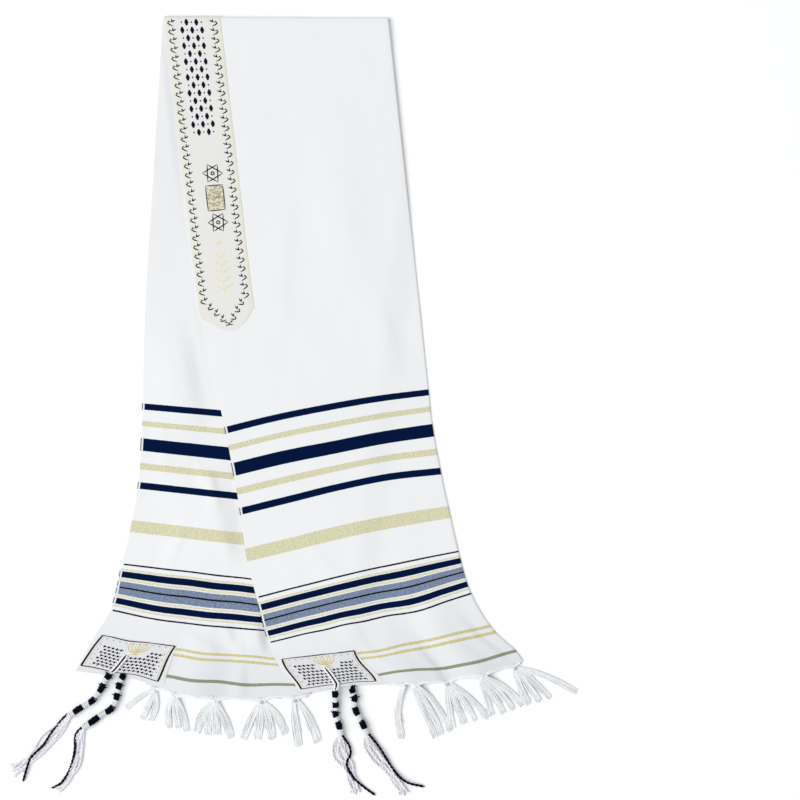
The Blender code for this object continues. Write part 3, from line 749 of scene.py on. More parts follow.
def weave_lamp(bm, surface, middle):
    """A golden lamp with seven branches on a foot."""
    for radius in (4.6, 9.2, 13.8):
        arm = arc(middle, LAMP_ARMS, radius, 2.6 + radius * 0.42, 180, 360, 12)
        stitch(bm, surface, arm, 1.5, PATCH_GOLD, pointed=False)
        for side in (-1, 1):
            x = middle + side * radius
            stitch(bm, surface, [(x, LAMP_ARMS - 0.3), (x, 46), (x, LAMP_TOP)], 1.6, PATCH_GOLD)
    stitch(bm, surface, straight((middle, LAMP_FOOT + 0.4), (middle, LAMP_TOP), 6), 1.5, PATCH_GOLD)
    stitch(bm, surface, straight((middle - 5, LAMP_FOOT), (middle + 5, LAMP_FOOT), 4), 1.6, PATCH_GOLD)


def weave_patch(bm, tail, shown):
    """The pattern of one patch, which leans a little because the patch was sewn on by eye."""
    face = patch_surface(tail, shown)

    def surface(x, y, lift):
        return face(x + PATCH_LEAN * (y / PATCH_HEIGHT * 2 - 1), y, lift)

    left, right, low, high = 6.2, PATCH_WIDTH - 5.6, 2.2, PATCH_HEIGHT - 1.2
    for x in (left, right):
        stitch(bm, surface, straight((x, low), (x, high), 16), 2.8, BLACK, pointed=False)
    for y in (low, high):
        stitch(bm, surface, straight((left, y), (right, y), 30), 1.5, BLACK, pointed=False)
    for x in (left + 3.4, right - 3.4):
        stitch(bm, surface, straight((x, low + 2), (x, high - 2), 16), 0.8, PATCH_GOLD, pointed=False)
    for k in range(10):
        x = left + 9 + 9 * k
        for y in (low + 4, high - 3.5):
            diamond(bm, surface, x, y, 0.7, 0.8, BLACK)
    for k in range(1, 5):
        for x in (left + 7, right - 7):
            diamond(bm, surface, x, low + 4 + 8 * k, 0.7, 0.8, BLACK)
    middle = PATCH_WIDTH * 0.55
    weave_lamp(bm, surface, middle)
    hole_x, hole_y = HOLE[tail]
    for row in range(7):
        y = 8.5 + 4.6 * row
        shift = 2.9 if row % 2 else 0
        for k in range(14):
            x = left + 13 + 5.8 * k + shift
            under_lamp = y > 30 and abs(x - middle) < 17
            if x > right - 10 or under_lamp or math.hypot(x - hole_x, y - hole_y) < 5.5:
                continue
            diamond(bm, surface, x, y, 1.9, 1.6, BLACK)
            diamond(bm, surface, x + 2.9, y, 0.8, 0.8, BLACK)
    for k in range(14):
        angle = math.tau * k / 14
        c, s = math.cos(angle), math.sin(angle)
        line = [(hole_x + 1.3 * c, hole_y + 1.3 * s), (hole_x + 3.4 * c, hole_y + 3.4 * s)]
        stitch(bm, surface, line, 1.1, RIM_WHITE)


patch_patterns = {}
for corner, (tail, shown) in CORNERS.items():
    bm = bmesh.new()
    weave_patch(bm, tail, shown)
    patch_patterns[corner] = finish_threads("patch_pattern_" + corner, bm, smooth=False)

# %% [markdown]
# ## Sewing
#
# The neckband and the patches are sewn on by machine, with a line of short white stitches just
# inside the rim. A thin dashed line in the material would do from afar. Here each stitch is one small
# thread, so the line is broken in the way a real seam is and stays true up close.

# %% Sew on the neckband and the patches
SEAM_IN = 1.8
STITCH_LONG = 2.4
STITCH_STEP = 3.4


def sew_along(bm, surface, line):
    """Short stitches along a line of flat points."""
    lengths = [math.dist(a, b) for a, b in zip(line, line[1:])]
    walked, goal = 0.0, 0.5
    for (a, b), length in zip(zip(line, line[1:]), lengths):
        while goal < walked + length:
            t0 = (goal - walked) / length
            t1 = min(t0 + STITCH_LONG / length, 1.0)
            ends = [(a[0] + (b[0] - a[0]) * t, a[1] + (b[1] - a[1]) * t) for t in (t0, t1)]
            stitch(bm, surface, ends, 0.6, height=0.25)
            goal += STITCH_STEP
        walked += length


bm = bmesh.new()
for tail in ("front", "back"):
    surface = band_surface(tail)
    places = [SEAM_IN + (BAND_WIDTH - 2 * SEAM_IN) * t / 8 for t in range(9)]
    edge = [(SEAM_IN, TAIL - 2), *((x, tongue(x) + SEAM_IN) for x in places)]
    sew_along(bm, surface, edge + [(BAND_WIDTH - SEAM_IN, TAIL - 2)])
band_seam = finish_threads("neckband_seam", bm, smooth=False)
patch_seams = {}
for corner, (tail, shown) in CORNERS.items():
    bm = bmesh.new()
    x1, y1 = PATCH_WIDTH - SEAM_IN, PATCH_HEIGHT - SEAM_IN / 2
    around = [(SEAM_IN, 1.1), (x1, 1.1), (x1, y1), (SEAM_IN, y1), (SEAM_IN, 1.1)]
    sew_along(bm, patch_surface(tail, shown), around)
    patch_seams[corner] = finish_threads("patch_seam_" + corner, bm, smooth=False)

# %% [markdown]
# ## The fringe
#
# A fringe is the panel's own warp left long. The threads are gathered from both sides into a knot
# just below the hem and fall from it in soft locks. Hair particles could make it, but they can't be
# placed lock by lock. Every lock here is a handful of separate thin threads that start close together
# at the knot, sink to the table and end at uneven lengths, and the locks of one knot bow away from
# each other. They are placed one by one, because hand-laid fringe never repeats.

# %% Where the locks of the fringe lie
FRINGE = {
    "front": (
        # share of the hem at the knot, the locks' width, how far they swing aside, the locks' ends
        (0.450, 9.0, -9.0, ((148, -445),)),
        (0.50, 8.0, 3.0, ((194, -443), (203, -439), (214, -435))),
        (0.645, 8.0, 2.0, ((217, -430), (233, -425), (248, -421), (264, -418))),
        (0.80, 8.5, 2.0, ((270, -414), (286, -411), (299, -406), (311, -400))),
        (0.955, 8.5, 1.0, ((319, -399), (334, -396), (348, -391), (383, -382))),
    ),
    "back": (
        (0.345, 7.5, 1.0, ((-221, -404), (-200, -419), (-188, -421))),
        (0.43, 8.5, -1.0, ((-164, -431), (-151, -431), (-139, -435))),
        (0.60, 10.5, -2.0, ((-127, -437), (-113, -440), (-99, -440), (-80, -444))),
        (0.80, 10.5, 2.0, ((-65, -446), (-45, -446), (-26, -446), (-7, -439))),
        (0.94, 11.0, 1.0, ((11, -456), (36, -450))),
    ),
}
FRINGE_START = {"front": 0.385, "back": 0.30}
print("locks that show:", sum(len(bundle[3]) for bundles in FRINGE.values() for bundle in bundles))

# %% One lock and its knot
THREAD = 0.52
THREADS_PER_LOCK = 30
HIDDEN_THREADS = 8
LOWEST = 0.6
chance = random.Random(7)


def hem_point(tail, share, shown, away):
    """A point off the hem, at the height of that layer."""
    point = on_cloth(tail, 0.0, share, shown)
    inside = on_cloth(tail, 6.0, share, shown)
    down = (point - inside).xy.normalized()
    return Vector((point.x + down.x * away, point.y + down.y * away, point.z))


def bend(a, b, c, t):
    """A point on the soft curve from a to c that is drawn towards b."""
    return a * (1 - t) ** 2 + b * 2 * t * (1 - t) + c * t * t


def grow_lock(bm, knot, end, width, swing, shown):
    """One lock of loose threads from a knot to its end, flat and wide where it lies on the table."""
    ahead = Vector((end.x - knot.x, end.y - knot.y, 0))
    side = Vector((-ahead.y, ahead.x, 0)).normalized()
    count = THREADS_PER_LOCK if shown else HIDDEN_THREADS
    for k in range(count):
        across = (k * 0.618 % 1) * 2 - 1
        spread = width * (0.5 + chance.uniform(-0.05, 0.05))
        tip = knot + ahead * (1 + chance.uniform(-0.08, 0.02))
        tip += side * across * spread * chance.uniform(0.85, 1.15)
        tip.z = chance.uniform(LOWEST, 1.4)
        level = chance.uniform(0.7, 3.0) if shown else chance.uniform(LOWEST, 1.4)
        middle = knot + ahead * 0.45 + side * (across * spread * 0.95 + swing)
        start = knot + side * across * min(width * 0.3, 2.7)
        start.z = knot.z + chance.uniform(-0.9, 0.8)
        phase = chance.uniform(0, math.tau)
        route = []
        for s in range(10):
            t = s / 9
            point = bend(start, middle * 1.5 - (start + tip) / 4, tip, t)
            point += side * 0.5 * math.sin(t * 8 + phase) * t
            point.z = start.z + (level - start.z) * ease(t / 0.45) + (tip.z - level) * ease((t - 0.6) / 0.4)
            point.z = max(point.z, LOWEST)
            route.append(point)
        radii = [THREAD * (1 - 0.4 * ease((s / 9 - 0.85) / 0.15)) for s in range(10)]
        tube(bm, route, radii, 4)


def tie_knot(bm, knot, down):
    """Two and a half turns of thread round the gathered bundle."""
    side = Vector((-down.y, down.x, 0))
    route = []
    for s in range(21):
        turn = s / 8 * math.tau
        route.append(knot + down * (s / 20 * 3.0 - 1.5) + side * 2.6 * math.cos(turn)
                     + Vector((0, 0, 1.3 * math.sin(turn))))
    tube(bm, route, 0.8, 6)


print("threads in a lock:", THREADS_PER_LOCK, "and in a hidden one:", HIDDEN_THREADS)

# %% Gather the warp into knots and hang the locks
KNOT_DROP = 7.5
HEM_LENGTH = 300
KNOT_SPREAD, LOCK_BOW = 2.4, 3.6


def gather(bm, tail, shown, low, high, share, knot):
    """The warp ends between two places of the hem, drawn sideways into a knot in soft loose arcs."""
    count = int((high - low) * HEM_LENGTH / (1.5 if shown else 5))
    for k in range(count):
        q = low + (high - low) * (k + 0.5) / count
        start = hem_point(tail, q, shown, -0.6)
        reach = min(abs(q - share) * HEM_LENGTH / 26, 1)
        drop = 1.2 + 2.6 * (1 - reach) + chance.uniform(-0.6, 1.0)
        hang = hem_point(tail, share + (q - share) * 0.5, shown, drop)
        aim = knot + Vector((chance.uniform(-1.2, 1.2), chance.uniform(-1.0, 1.0), 0))
        route = []
        for s in range(8):
            t = s / 7
            point = bend(start, hang, aim, t)
            point.z = start.z + (knot.z - start.z) * t + chance.uniform(-0.2, 0.3)
            route.append(point)
        tube(bm, route, THREAD, 4)


def roll_hem(bm, tail, shown, low, high, share, knot):
    """Thicker twisted bundles that run along the hem from both sides to the knot."""
    for start in (low, high):
        for lane in range(3):
            route = []
            for s in range(11):
                t = s / 10
                away = 0.7 + 1.1 * lane + (KNOT_DROP - 1.2 - 1.1 * lane) * ease((t - 0.3) / 0.7)
                point = hem_point(tail, start + (share - start) * t, shown, away)
                point.z += (knot.z - point.z) * ease(t) - 0.5 * lane + 0.3 * math.sin(9 * t + 2 * lane)
                point.z = max(point.z, 1.0)
                route.append(point)
            tube(bm, route, 0.85, 5)


def make_fringe(tail, shown):
    """All the locks of one layer's hem, with the threads that feed their knots."""
    bm = bmesh.new()
    shares = [bundle[0] for bundle in FRINGE[tail]]
    edges = [FRINGE_START[tail]] + [(a + b) / 2 for a, b in zip(shares, shares[1:])] + [0.99]
    for (share, width, swing, ends), low, high in zip(FRINGE[tail], edges, edges[1:]):
        knot = hem_point(tail, share, shown, KNOT_DROP)
        knot.z = max(knot.z - 1.0, 1.8)
        down = hem_point(tail, share, shown, 1.0) - hem_point(tail, share, shown, 0.0)
        gather(bm, tail, shown, low, high, share, knot)
        roll_hem(bm, tail, shown, low, high, share, knot)
        tie_knot(bm, knot, Vector((down.x, down.y, 0)).normalized())
        beside = Vector((-down.y, down.x, 0)).normalized()
        kept = ends if shown else ends[1:-1][:2] or ends
        for i, end in enumerate(kept):
            goal = Vector((*end, 1.0))
            if not shown:
                goal = knot.lerp(goal, 0.72)
            place = 2 * i / (len(kept) - 1) - 1 if len(kept) > 1 else 0.0
            grow_lock(bm, knot + beside * KNOT_SPREAD * place, goal, width, swing + LOCK_BOW * place, shown)
    return bm


fringes = {}
for corner, (tail, shown) in CORNERS.items():
    fringes[corner] = finish_threads("fringe_" + corner, make_fringe(tail, shown), smooth=False)

# %% [markdown]
# ## The corner tassels
#
# Each tassel is a cord drawn through the patch's hole, doubled and tied. Its head is wound: navy
# windings sit between white double knots. Below the end knot eight strands hang free, seven white
# and one navy. A striped cylinder would be quick, but it would look like plastic. A winding is
# modelled as what it is, a thread that climbs in a tight helix round the core, so light catches every
# turn, and each strand is a cord of two plies.

# %% Where the tassels lie
TASSELS = {
    # head: the places of the windings and knots in turn, navy first; white: the white strands' middle
    # line with their spread; navy: the navy strand
    "front": {
        "head": ((59.4, -383.4), (59.9, -392.3), (60.1, -399.4), (60.4, -405.3), (59.6, -410.9),
                 (61.7, -417.9), (64.4, -426.4), (66.5, -436.1)),
        "white": ((66, -440, 2), (64, -452, 9), (67, -466, 9), (75, -482, 7), (82, -500, 6), (88, -519, 7)),
        "navy": ((69, -440), (78, -454), (80, -465), (75, -478), (84, -497), (98, -510), (112, -520)),
    },
    "front_under": {
        "head": ((82.4, -380), (83.5, -384.4), (85.5, -389.6), (84.6, -398.6), (87.2, -407.4),
                 (91.7, -416.7), (96.8, -425.7), (100.7, -435.6)),
        "white": ((101, -439, 2), (103, -451, 7), (115, -468, 7), (128, -486, 5), (141, -503, 5),
                  (154, -519, 7)),
        "navy": ((104, -438), (114, -450), (123, -463), (138, -487), (155, -503), (177, -509)),
    },
    "back": {
        "head": ((-244.1, -359.9), (-248.7, -366), (-253.5, -376.2), (-260.3, -386.5), (-266, -393.6),
                 (-274, -398.8), (-285.2, -405.3), (-295.5, -412.9)),
        "white": ((-298, -416, 2), (-311, -432, 8), (-326, -448, 9), (-343, -464, 6), (-360, -480, 6),
                  (-375, -490, 9)),
        "navy": ((-300, -412), (-318, -432), (-332, -453), (-349, -471), (-354, -484), (-359, -501)),
    },
    "back_under": {
        "head": ((-225.4, -361), (-228.4, -366.8), (-230.4, -373.6), (-232.2, -381.3), (-233.5, -387.3),
                 (-235.3, -395.9), (-242.4, -406.1), (-252.7, -411.4), (-263.8, -419.8), (-276, -428)),
        "white": ((-279, -431, 2), (-283, -443, 6), (-284, -458, 6), (-290, -480, 5), (-302, -500, 5),
                  (-313, -515, 6)),
        "navy": ((-281, -430), (-289, -440), (-290, -460), (-296, -484), (-307, -503), (-320, -511)),
    },
}
print("windings and knots:", {corner: len(parts["head"]) for corner, parts in TASSELS.items()})

# %% Windings, twisted cord and frayed tips
WHITE_CORD, NAVY_CORD, SOFT_CORD = range(3)


def at_length(knots, points, at):
    """The point at a length along a smooth route, where knots are the points' own lengths."""
    return Vector([through(knots, [p[i] for p in points], at) for i in range(3)])


def lengths_along(points):
    """How far along a line each of its points lies."""
    lengths = [0.0]
    for a, b in zip(points, points[1:]):
        lengths.append(lengths[-1] + (b - a).length)
    return lengths


def smooth_route(points, step):
    """A dense smooth route through points, with a point about every step millimetres."""
    knots = lengths_along(points)
    count = max(int(knots[-1] / step), 2)
    return [at_length(knots, points, knots[-1] * s / count) for s in range(count + 1)]


def wind(bm, route, radius, thread, pitch, slot, hand=1):
    """A thread wound round a route in a helix, a little fuller at its middle, with a core inside."""
    length = sum((b - a).length for a, b in zip(route, route[1:]))
    per_turn = 12
    total = max(int(length / pitch * per_turn), per_turn)
    knots = [i / (len(route) - 1) for i in range(len(route))]
    coil = []
    for s in range(total + 1):
        t = s / total
        at = at_length(knots, route, t)
        near, far = at_length(knots, route, max(t - 0.02, 0)), at_length(knots, route, min(t + 0.02, 1))
        ahead = (far - near).normalized()
        side = Vector((-ahead.y, ahead.x, 0)).normalized()
        up = side.cross(ahead) * -1
        turn = hand * s / per_turn * math.tau
        reach = (radius - thread) * (0.86 + 0.14 * math.sin(t * math.pi) + 0.05 * math.sin(5 * turn / 7))
        coil.append(at + (side * math.cos(turn) + up * math.sin(turn)) * reach)
    tube(bm, coil, thread, 5, slot)
    tube(bm, route, (radius - thread) * 0.86, 8, slot)


def twist_cord(bm, route, radius, slot):
    """A cord of two plies turned round each other."""
    plies = [[], []]
    last = len(route) - 1
    for i, point in enumerate(route):
        ahead = (route[min(i + 1, last)] - route[max(i - 1, 0)]).normalized()
        side = Vector((-ahead.y, ahead.x, 0)).normalized()
        up = ahead.cross(side)
        turn = i * 0.9
        offset = (side * math.cos(turn) + up * math.sin(turn)) * radius * 0.6
        plies[0].append(point + offset)
        plies[1].append(point - offset)
    for ply in plies:
        tube(bm, ply, radius, 5, slot)


def fray(bm, tip, ahead, slot):
    """A few short loose fibres at a strand's tip."""
    ahead = ahead.normalized()
    side = Vector((-ahead.y, ahead.x, 0)).normalized()
    for k in range(4):
        end = tip + ahead * chance.uniform(1.2, 3.0) + side * chance.uniform(-1.6, 1.6)
        end.z = max(tip.z + chance.uniform(-0.5, 0.5), 0.5)
        tube(bm, [tip - ahead, tip + ahead * 0.3, end], [0.35, 0.35, 0.2], 3, slot)


print("cord kinds:", SOFT_CORD + 1)

# %% The parts of a tassel
STRAND = 1.15


def tie_bow(bm, point, ahead):
    """The short ends of a navy winding, which stick out at both sides of its knot."""
    ahead = ahead.normalized()
    side = Vector((-ahead.y, ahead.x, 0)).normalized()
    for sign in (-1, 1):
        root = point + side * sign * 3.0 + Vector((0, 0, 1.2))
        tip = point + side * sign * (6.0 + chance.uniform(0, 1.2)) + ahead * chance.uniform(-2, 1.5)
        tip.z = max(point.z + chance.uniform(-1.0, 1.2), 1.5)
        tube(bm, [root, (root + tip) / 2 + Vector((0, 0, 0.5)), tip], [0.8, 0.85, 0.6], 5, NAVY_CORD)


def loop_cords(bm, tail, head_start):
    """The cords that come up through the hole and run over the patch's lower edge."""
    hole_x, hole_y = HOLE[tail]
    lower_x = hole_x - (6 if tail == "front" else 8)
    for lane, slot in ((-2.6, WHITE_CORD), (0.0, NAVY_CORD), (2.6, WHITE_CORD)):
        rise = 1.8 if slot == WHITE_CORD else 1.6
        points = [on_patch(tail, True, hole_x + lane * 0.4, hole_y, -0.6)]
        for t in (0.12, 0.4, 0.7, 1.0):
            along_x = hole_x + (lower_x - hole_x) * t
            points.append(on_patch(tail, True, along_x + lane, hole_y * (1 - t) + 1.0 * t, rise))
        points.append(head_start + Vector((lane * 0.5, 2.5, 0.4)))
        points.append(head_start.copy())
        twist_cord(bm, smooth_route(points, 1.1), 1.0 if slot == WHITE_CORD else 0.6, slot)


def hang_strands(bm, parts, knot):
    """Seven white strands and a navy one, from the end knot to their frayed tips."""
    for k in range(7):
        across = (k - 3) / 3
        points = [knot + Vector((across * 1.2, 0, 0))]
        middle = parts["white"]
        for i, (x, y, spread) in enumerate(middle):
            (x0, y0, _), (x1, y1, _) = middle[max(i - 1, 0)], middle[min(i + 1, len(middle) - 1)]
            ahead = Vector((x1 - x0, y1 - y0, 0)).normalized()
            side = Vector((-ahead.y, ahead.x, 0))
            weave = across + 0.45 * math.sin(2.1 * i + 2.4 * k) * (i > 1)
            level = 1.8 + 0.7 * math.sin(1.7 * k + 1.3 * i)
            points.append(Vector((x, y, level)) + side * weave * spread * 0.82)
        points[-1] += (points[-1] - points[-2]).normalized() * chance.uniform(-7, 0)
        points[1].z = 3.0
        twist_cord(bm, smooth_route(points, 1.7), STRAND, SOFT_CORD)
        fray(bm, points[-1], points[-1] - points[-2], SOFT_CORD)
    points = [knot.copy()]
    for i, (x, y) in enumerate(parts["navy"]):
        points.append(Vector((x, y, 1.7 if i > 4 else 4.2 if i % 2 == 0 else 2.8)))
    twist_cord(bm, smooth_route(points, 1.7), STRAND, NAVY_CORD)
    fray(bm, points[-1], points[-1] - points[-2], NAVY_CORD)


print("strands per tassel: 7 white and 1 navy, of plies", 2 * STRAND, "mm thick")

# %% Make the tassels
WINDING_RADIUS = 4.6
KNOT_RADIUS = 4.2
HEAD_LEVEL = 5.0
# The windings whose short ends stick out, counted from the top of a head.
BOWS = {"front": (4,), "front_under": (2,), "back": (0, 2), "back_under": (2, 4)}
# Where a tassel of the under layer comes out below the hem, as a share of the hem's length.
UNDER_SHARE = {"front": 0.245, "back": 0.205}


def make_tassel(corner):
    """Loop, wound head and eight strands of one tassel."""
    tail, shown = CORNERS[corner]
    parts = TASSELS[corner]
    bm = bmesh.new()
    hem_height = on_cloth(tail, 0.0, 0.2, shown).z
    first_level = max(hem_height + (3.4 if shown else 1.6), HEAD_LEVEL)
    head = []
    for i, (x, y) in enumerate(parts["head"]):
        head.append(Vector((x, y, HEAD_LEVEL + (first_level - HEAD_LEVEL) * (1 - ease(i / 2)))))
    if shown:
        loop_cords(bm, tail, head[0])
    else:
        start = hem_point(tail, UNDER_SHARE[tail], False, -2)
        start.z = max(start.z, 2.2)
        for shift in (-1.4, 1.4):
            points = [start + Vector((shift, 0, 0)), head[0] + Vector((shift, 3, 0)), head[0]]
            twist_cord(bm, smooth_route(points, 1.2), 1.0, NAVY_CORD)
    knots = lengths_along(head)
    bounds = [-2.5] + [(a + b) / 2 for a, b in zip(knots, knots[1:])] + [knots[-1] + 3.5]
    for i in range(len(head)):
        navy = i % 2 == 0
        low, high = bounds[i], bounds[i + 1]
        if navy:
            low, high = low - 0.7, high + 0.7
        route = [at_length(knots, head, low + (high - low) * s / 6) for s in range(7)]
        if navy:
            wind(bm, route, WINDING_RADIUS * chance.uniform(0.97, 1.06), 0.85, 1.7, NAVY_CORD)
            if i in BOWS[corner]:
                tie_bow(bm, route[2], route[3] - route[1])
        else:
            wind(bm, route, KNOT_RADIUS + 0.5 * (i == len(head) - 1), 1.3, 2.7, SOFT_CORD, hand=-1)
    hang_strands(bm, parts, head[-1])
    return bm


tassels = {corner: finish_threads("tassel_" + corner, make_tassel(corner)) for corner in CORNERS}

# %% [markdown]
# ## Loose yarn at the open edge
#
# The weaver carries the navy yarn up the edge from row to row, so beside each navy stripe a few tiny
# loops of it show at the open edge. They are the smallest detail here, and they make it a woven cloth.
# The same table of stripes places the loops now and the colours later, so that the two always agree.

# %% Stripes and their edge loops
STRIPES = (
    # name, distance from the hem, width, yarn
    ("olive line", 17.0, 4.0, "olive"),
    ("lower gold line", 44.0, 3.6, "hem gold"),
    ("upper gold line", 52.0, 3.6, "hem gold"),
    ("lower thin line", 92.0, 2.3, "ink"),
    ("gold edge", 99.2, 2.6, "pale gold"),
    ("lower navy", 106.4, 8.7, "navy"),
    ("gold edge", 113.6, 2.6, "pale gold"),
    ("lower chambray", 120.8, 9.0, "chambray"),
    ("middle line", 126.7, 2.9, "ink"),
    ("upper chambray", 131.5, 7.6, "chambray"),
    ("gold edge", 138.2, 3.3, "pale gold"),
    ("upper navy", 145.7, 9.2, "navy"),
    ("gold edge", 152.5, 2.6, "pale gold"),
    ("upper thin line", 160.4, 2.3, "ink"),
    ("wide gold", 216.4, 17.0, "gold"),
    ("third navy", 274.0, 9.2, "navy"),
    ("second gold", 299.6, 8.5, "gold"),
    ("wide navy", 328.0, 17.0, "navy"),
    ("first gold", 356.5, 7.2, "gold"),
    ("first navy", 379.8, 8.7, "navy"),
)


def edge_loops(tail):
    """Navy loops beside the navy and chambray stripes, on both open edges of a tail."""
    bm = bmesh.new()
    for name, centre, width, yarn in STRIPES:
        if yarn not in ("navy", "chambray"):
            continue
        count = max(round(width / 3), 2)
        for upper in (True, False):
            for k in range(count):
                low = centre - width / 2 + width * k / count
                route = []
                for s in range(5):
                    t = s / 4
                    point = on_cloth(tail, low + width / count * t, 0.0, upper)
                    inwards = on_cloth(tail, low, 0.02, upper) - on_cloth(tail, low, 0.0, upper)
                    inwards.normalize()
                    point = point - inwards * (0.9 * math.sin(t * math.pi) - 0.5)
                    point.z += 0.35 * (1 if upper else 0) + 0.1
                    route.append(point)
                tube(bm, route, 0.45, 4)
    return bm


loops = {tail: finish_threads("edge_loops_" + tail, edge_loops(tail)) for tail in ("front", "back")}

# %% [markdown]
# ## Shader groups
#
# Three effects are needed again and again, so each is a node group with named sockets. The first
# tells how much a point belongs to a stripe, and serves all twenty stripes. The second is a plain
# weave: warp and weft going over and under each other. The third is the uneven tint of spun yarn.
# Copying the nodes into each material would work too, but a mend would then have to be made many times.

# %% Helpers for nodes
def new_group(name, inputs, outputs):
    """An empty node group. Inputs are (name, kind, value) and outputs (name, kind)."""
    group = bpy.data.node_groups.new(name, "ShaderNodeTree")
    for label, kind, value in inputs:
        socket = group.interface.new_socket(label, in_out="INPUT", socket_type="NodeSocket" + kind)
        if value is not None:
            socket.default_value = value
    for label, kind in outputs:
        group.interface.new_socket(label, in_out="OUTPUT", socket_type="NodeSocket" + kind)
    return group, group.nodes.new("NodeGroupInput"), group.nodes.new("NodeGroupOutput")


def maths(tree, operation, *values):
    """A Math node. Each value is a number or a socket."""
    node = tree.nodes.new("ShaderNodeMath")
    node.operation = operation
    for socket, value in zip(node.inputs, values):
        if isinstance(value, (int, float)):
            socket.default_value = value
        else:
            tree.links.new(value, socket)
    return node.outputs[0]


def blend(tree, factor, first, second):
    """Mix two colours. Each is a colour or a socket."""
    node = tree.nodes.new("ShaderNodeMix")
    node.data_type = "RGBA"
    for socket, value in zip((node.inputs[0], node.inputs[6], node.inputs[7]), (factor, first, second)):
        if isinstance(value, (int, float, tuple)):
            socket.default_value = value
        else:
            tree.links.new(value, socket)
    return node.outputs[2]


print("groups so far:", len(bpy.data.node_groups))

# %% A stripe with soft sides
stripe_group, given, result = new_group(
    "Stripe", [("Position", "Float", 0.0), ("Centre", "Float", 0.1), ("Width", "Float", 0.01),
               ("Softness", "Float", 0.0005)], [("Mask", "Float")])
away = maths(stripe_group, "ABSOLUTE", maths(
    stripe_group, "SUBTRACT", given.outputs["Position"], given.outputs["Centre"]))
inside = maths(stripe_group, "SUBTRACT", maths(stripe_group, "MULTIPLY", given.outputs["Width"], 0.5), away)
soft = maths(stripe_group, "ADD", maths(stripe_group, "DIVIDE", inside, given.outputs["Softness"]), 0.5)
soft.node.use_clamp = True
stripe_group.links.new(soft, result.inputs["Mask"])
print("stripe group:", len(stripe_group.nodes), "nodes")

# %% A plain weave
weave_group, given, result = new_group(
    "Plain weave", [("Place", "Vector", None), ("Pitch", "Float", 0.0008)], [("Height", "Float")])
axes = weave_group.nodes.new("ShaderNodeSeparateXYZ")
weave_group.links.new(given.outputs["Place"], axes.inputs[0])
turns = []
for axis in (0, 1):
    per_pitch = maths(weave_group, "DIVIDE", axes.outputs[axis], given.outputs["Pitch"])
    turns.append(maths(weave_group, "SINE", maths(weave_group, "MULTIPLY", per_pitch, math.pi)))
over = maths(weave_group, "MULTIPLY", turns[0], turns[1])
weave_group.links.new(maths(weave_group, "ADD", maths(weave_group, "MULTIPLY", over, 0.5), 0.5),
                      result.inputs["Height"])
print("weave group:", len(weave_group.nodes), "nodes")

# %% The tint of spun yarn
yarn_group, given, result = new_group(
    "Spun yarn", [("Place", "Vector", None), ("Colour", "Color", (0.8, 0.8, 0.8, 1)),
                  ("Scale", "Float", 600.0), ("Stretch", "Float", 4.0), ("Amount", "Float", 0.1)],
    [("Colour", "Color")])
longer = yarn_group.nodes.new("ShaderNodeVectorMath")
longer.operation = "MULTIPLY"
grow = yarn_group.nodes.new("ShaderNodeCombineXYZ")
yarn_group.links.new(given.outputs["Stretch"], grow.inputs[1])
grow.inputs[0].default_value = grow.inputs[2].default_value = 1.0
yarn_group.links.new(given.outputs["Place"], longer.inputs[0])
yarn_group.links.new(grow.outputs[0], longer.inputs[1])
specks = yarn_group.nodes.new("ShaderNodeTexNoise")
specks.inputs["Detail"].default_value = 2.0
yarn_group.links.new(longer.outputs[0], specks.inputs["Vector"])
yarn_group.links.new(given.outputs["Scale"], specks.inputs["Scale"])
swing = maths(yarn_group, "MULTIPLY", maths(yarn_group, "SUBTRACT", specks.outputs[0], 0.5), 2.0)
level = maths(yarn_group, "ADD", maths(yarn_group, "MULTIPLY", swing, given.outputs["Amount"]), 1.0)
tinted = yarn_group.nodes.new("ShaderNodeVectorMath")
tinted.operation = "SCALE"
yarn_group.links.new(given.outputs["Colour"], tinted.inputs[0])
yarn_group.links.new(level, tinted.inputs["Scale"])
yarn_group.links.new(tinted.outputs[0], result.inputs["Colour"])
print("groups:", [group.name for group in bpy.data.node_groups])

# %% [markdown]
# ## The striped cloth
#
# The UV map holds the flat panel in metres, so the distance from the nearest hem is the smaller of
# the two ways along it, and both ends get the same stripes from one table. Navy, chambray and ink
# stop a few millimetres before the open edges, where the real yarn turns back. Gold yarn has a foil
# thread in it, so it is a little metallic and sparkles; chambray is navy and white yarn crossed, so
# it is mottled. Near both ends the white cloth is painted a shade greyer: this is painted shade over
# the hems.

# %% Colours of the yarns
YARNS = {
    # colour, tint change, how fine the specks are, metal
    "olive": ((0.27, 0.28, 0.20, 1), 0.7, 420, 0.0),
    "hem gold": ((0.62, 0.575, 0.31, 1), 0.6, 330, 0.15),
    "pale gold": ((0.70, 0.68, 0.50, 1), 0.7, 330, 0.15),
    "gold": ((0.68, 0.655, 0.455, 1), 0.6, 340, 0.2),
    "ink": ((0.004, 0.006, 0.016, 1), 0.2, 500, 0.0),
    "navy": ((0.0005, 0.0062, 0.040, 1), 0.3, 400, 0.0),
    "chambray": ((0.19, 0.238, 0.345, 1), 1.2, 290, 0.0),
}
WHITE = (0.818, 0.826, 0.834, 1)
# Painted shade: near both ends the white cloth is painted this greyer colour.
PAINTED_SHADE_WHITE = (0.728, 0.74, 0.756, 1)
PAINTED_SHADE_REACH = 0.12
print("yarns:", list(YARNS))

# %% Helpers for materials
SHEEN = 0.04


def new_material(name, roughness):
    """A new material, with its node tree and its shader."""
    material = bpy.data.materials.new(name)
    material.use_nodes = True
    tree = material.node_tree
    shader = tree.nodes["Principled BSDF"]
    shader.inputs["Roughness"].default_value = roughness
    shader.inputs["Specular IOR Level"].default_value = SHEEN
    return material, tree, shader


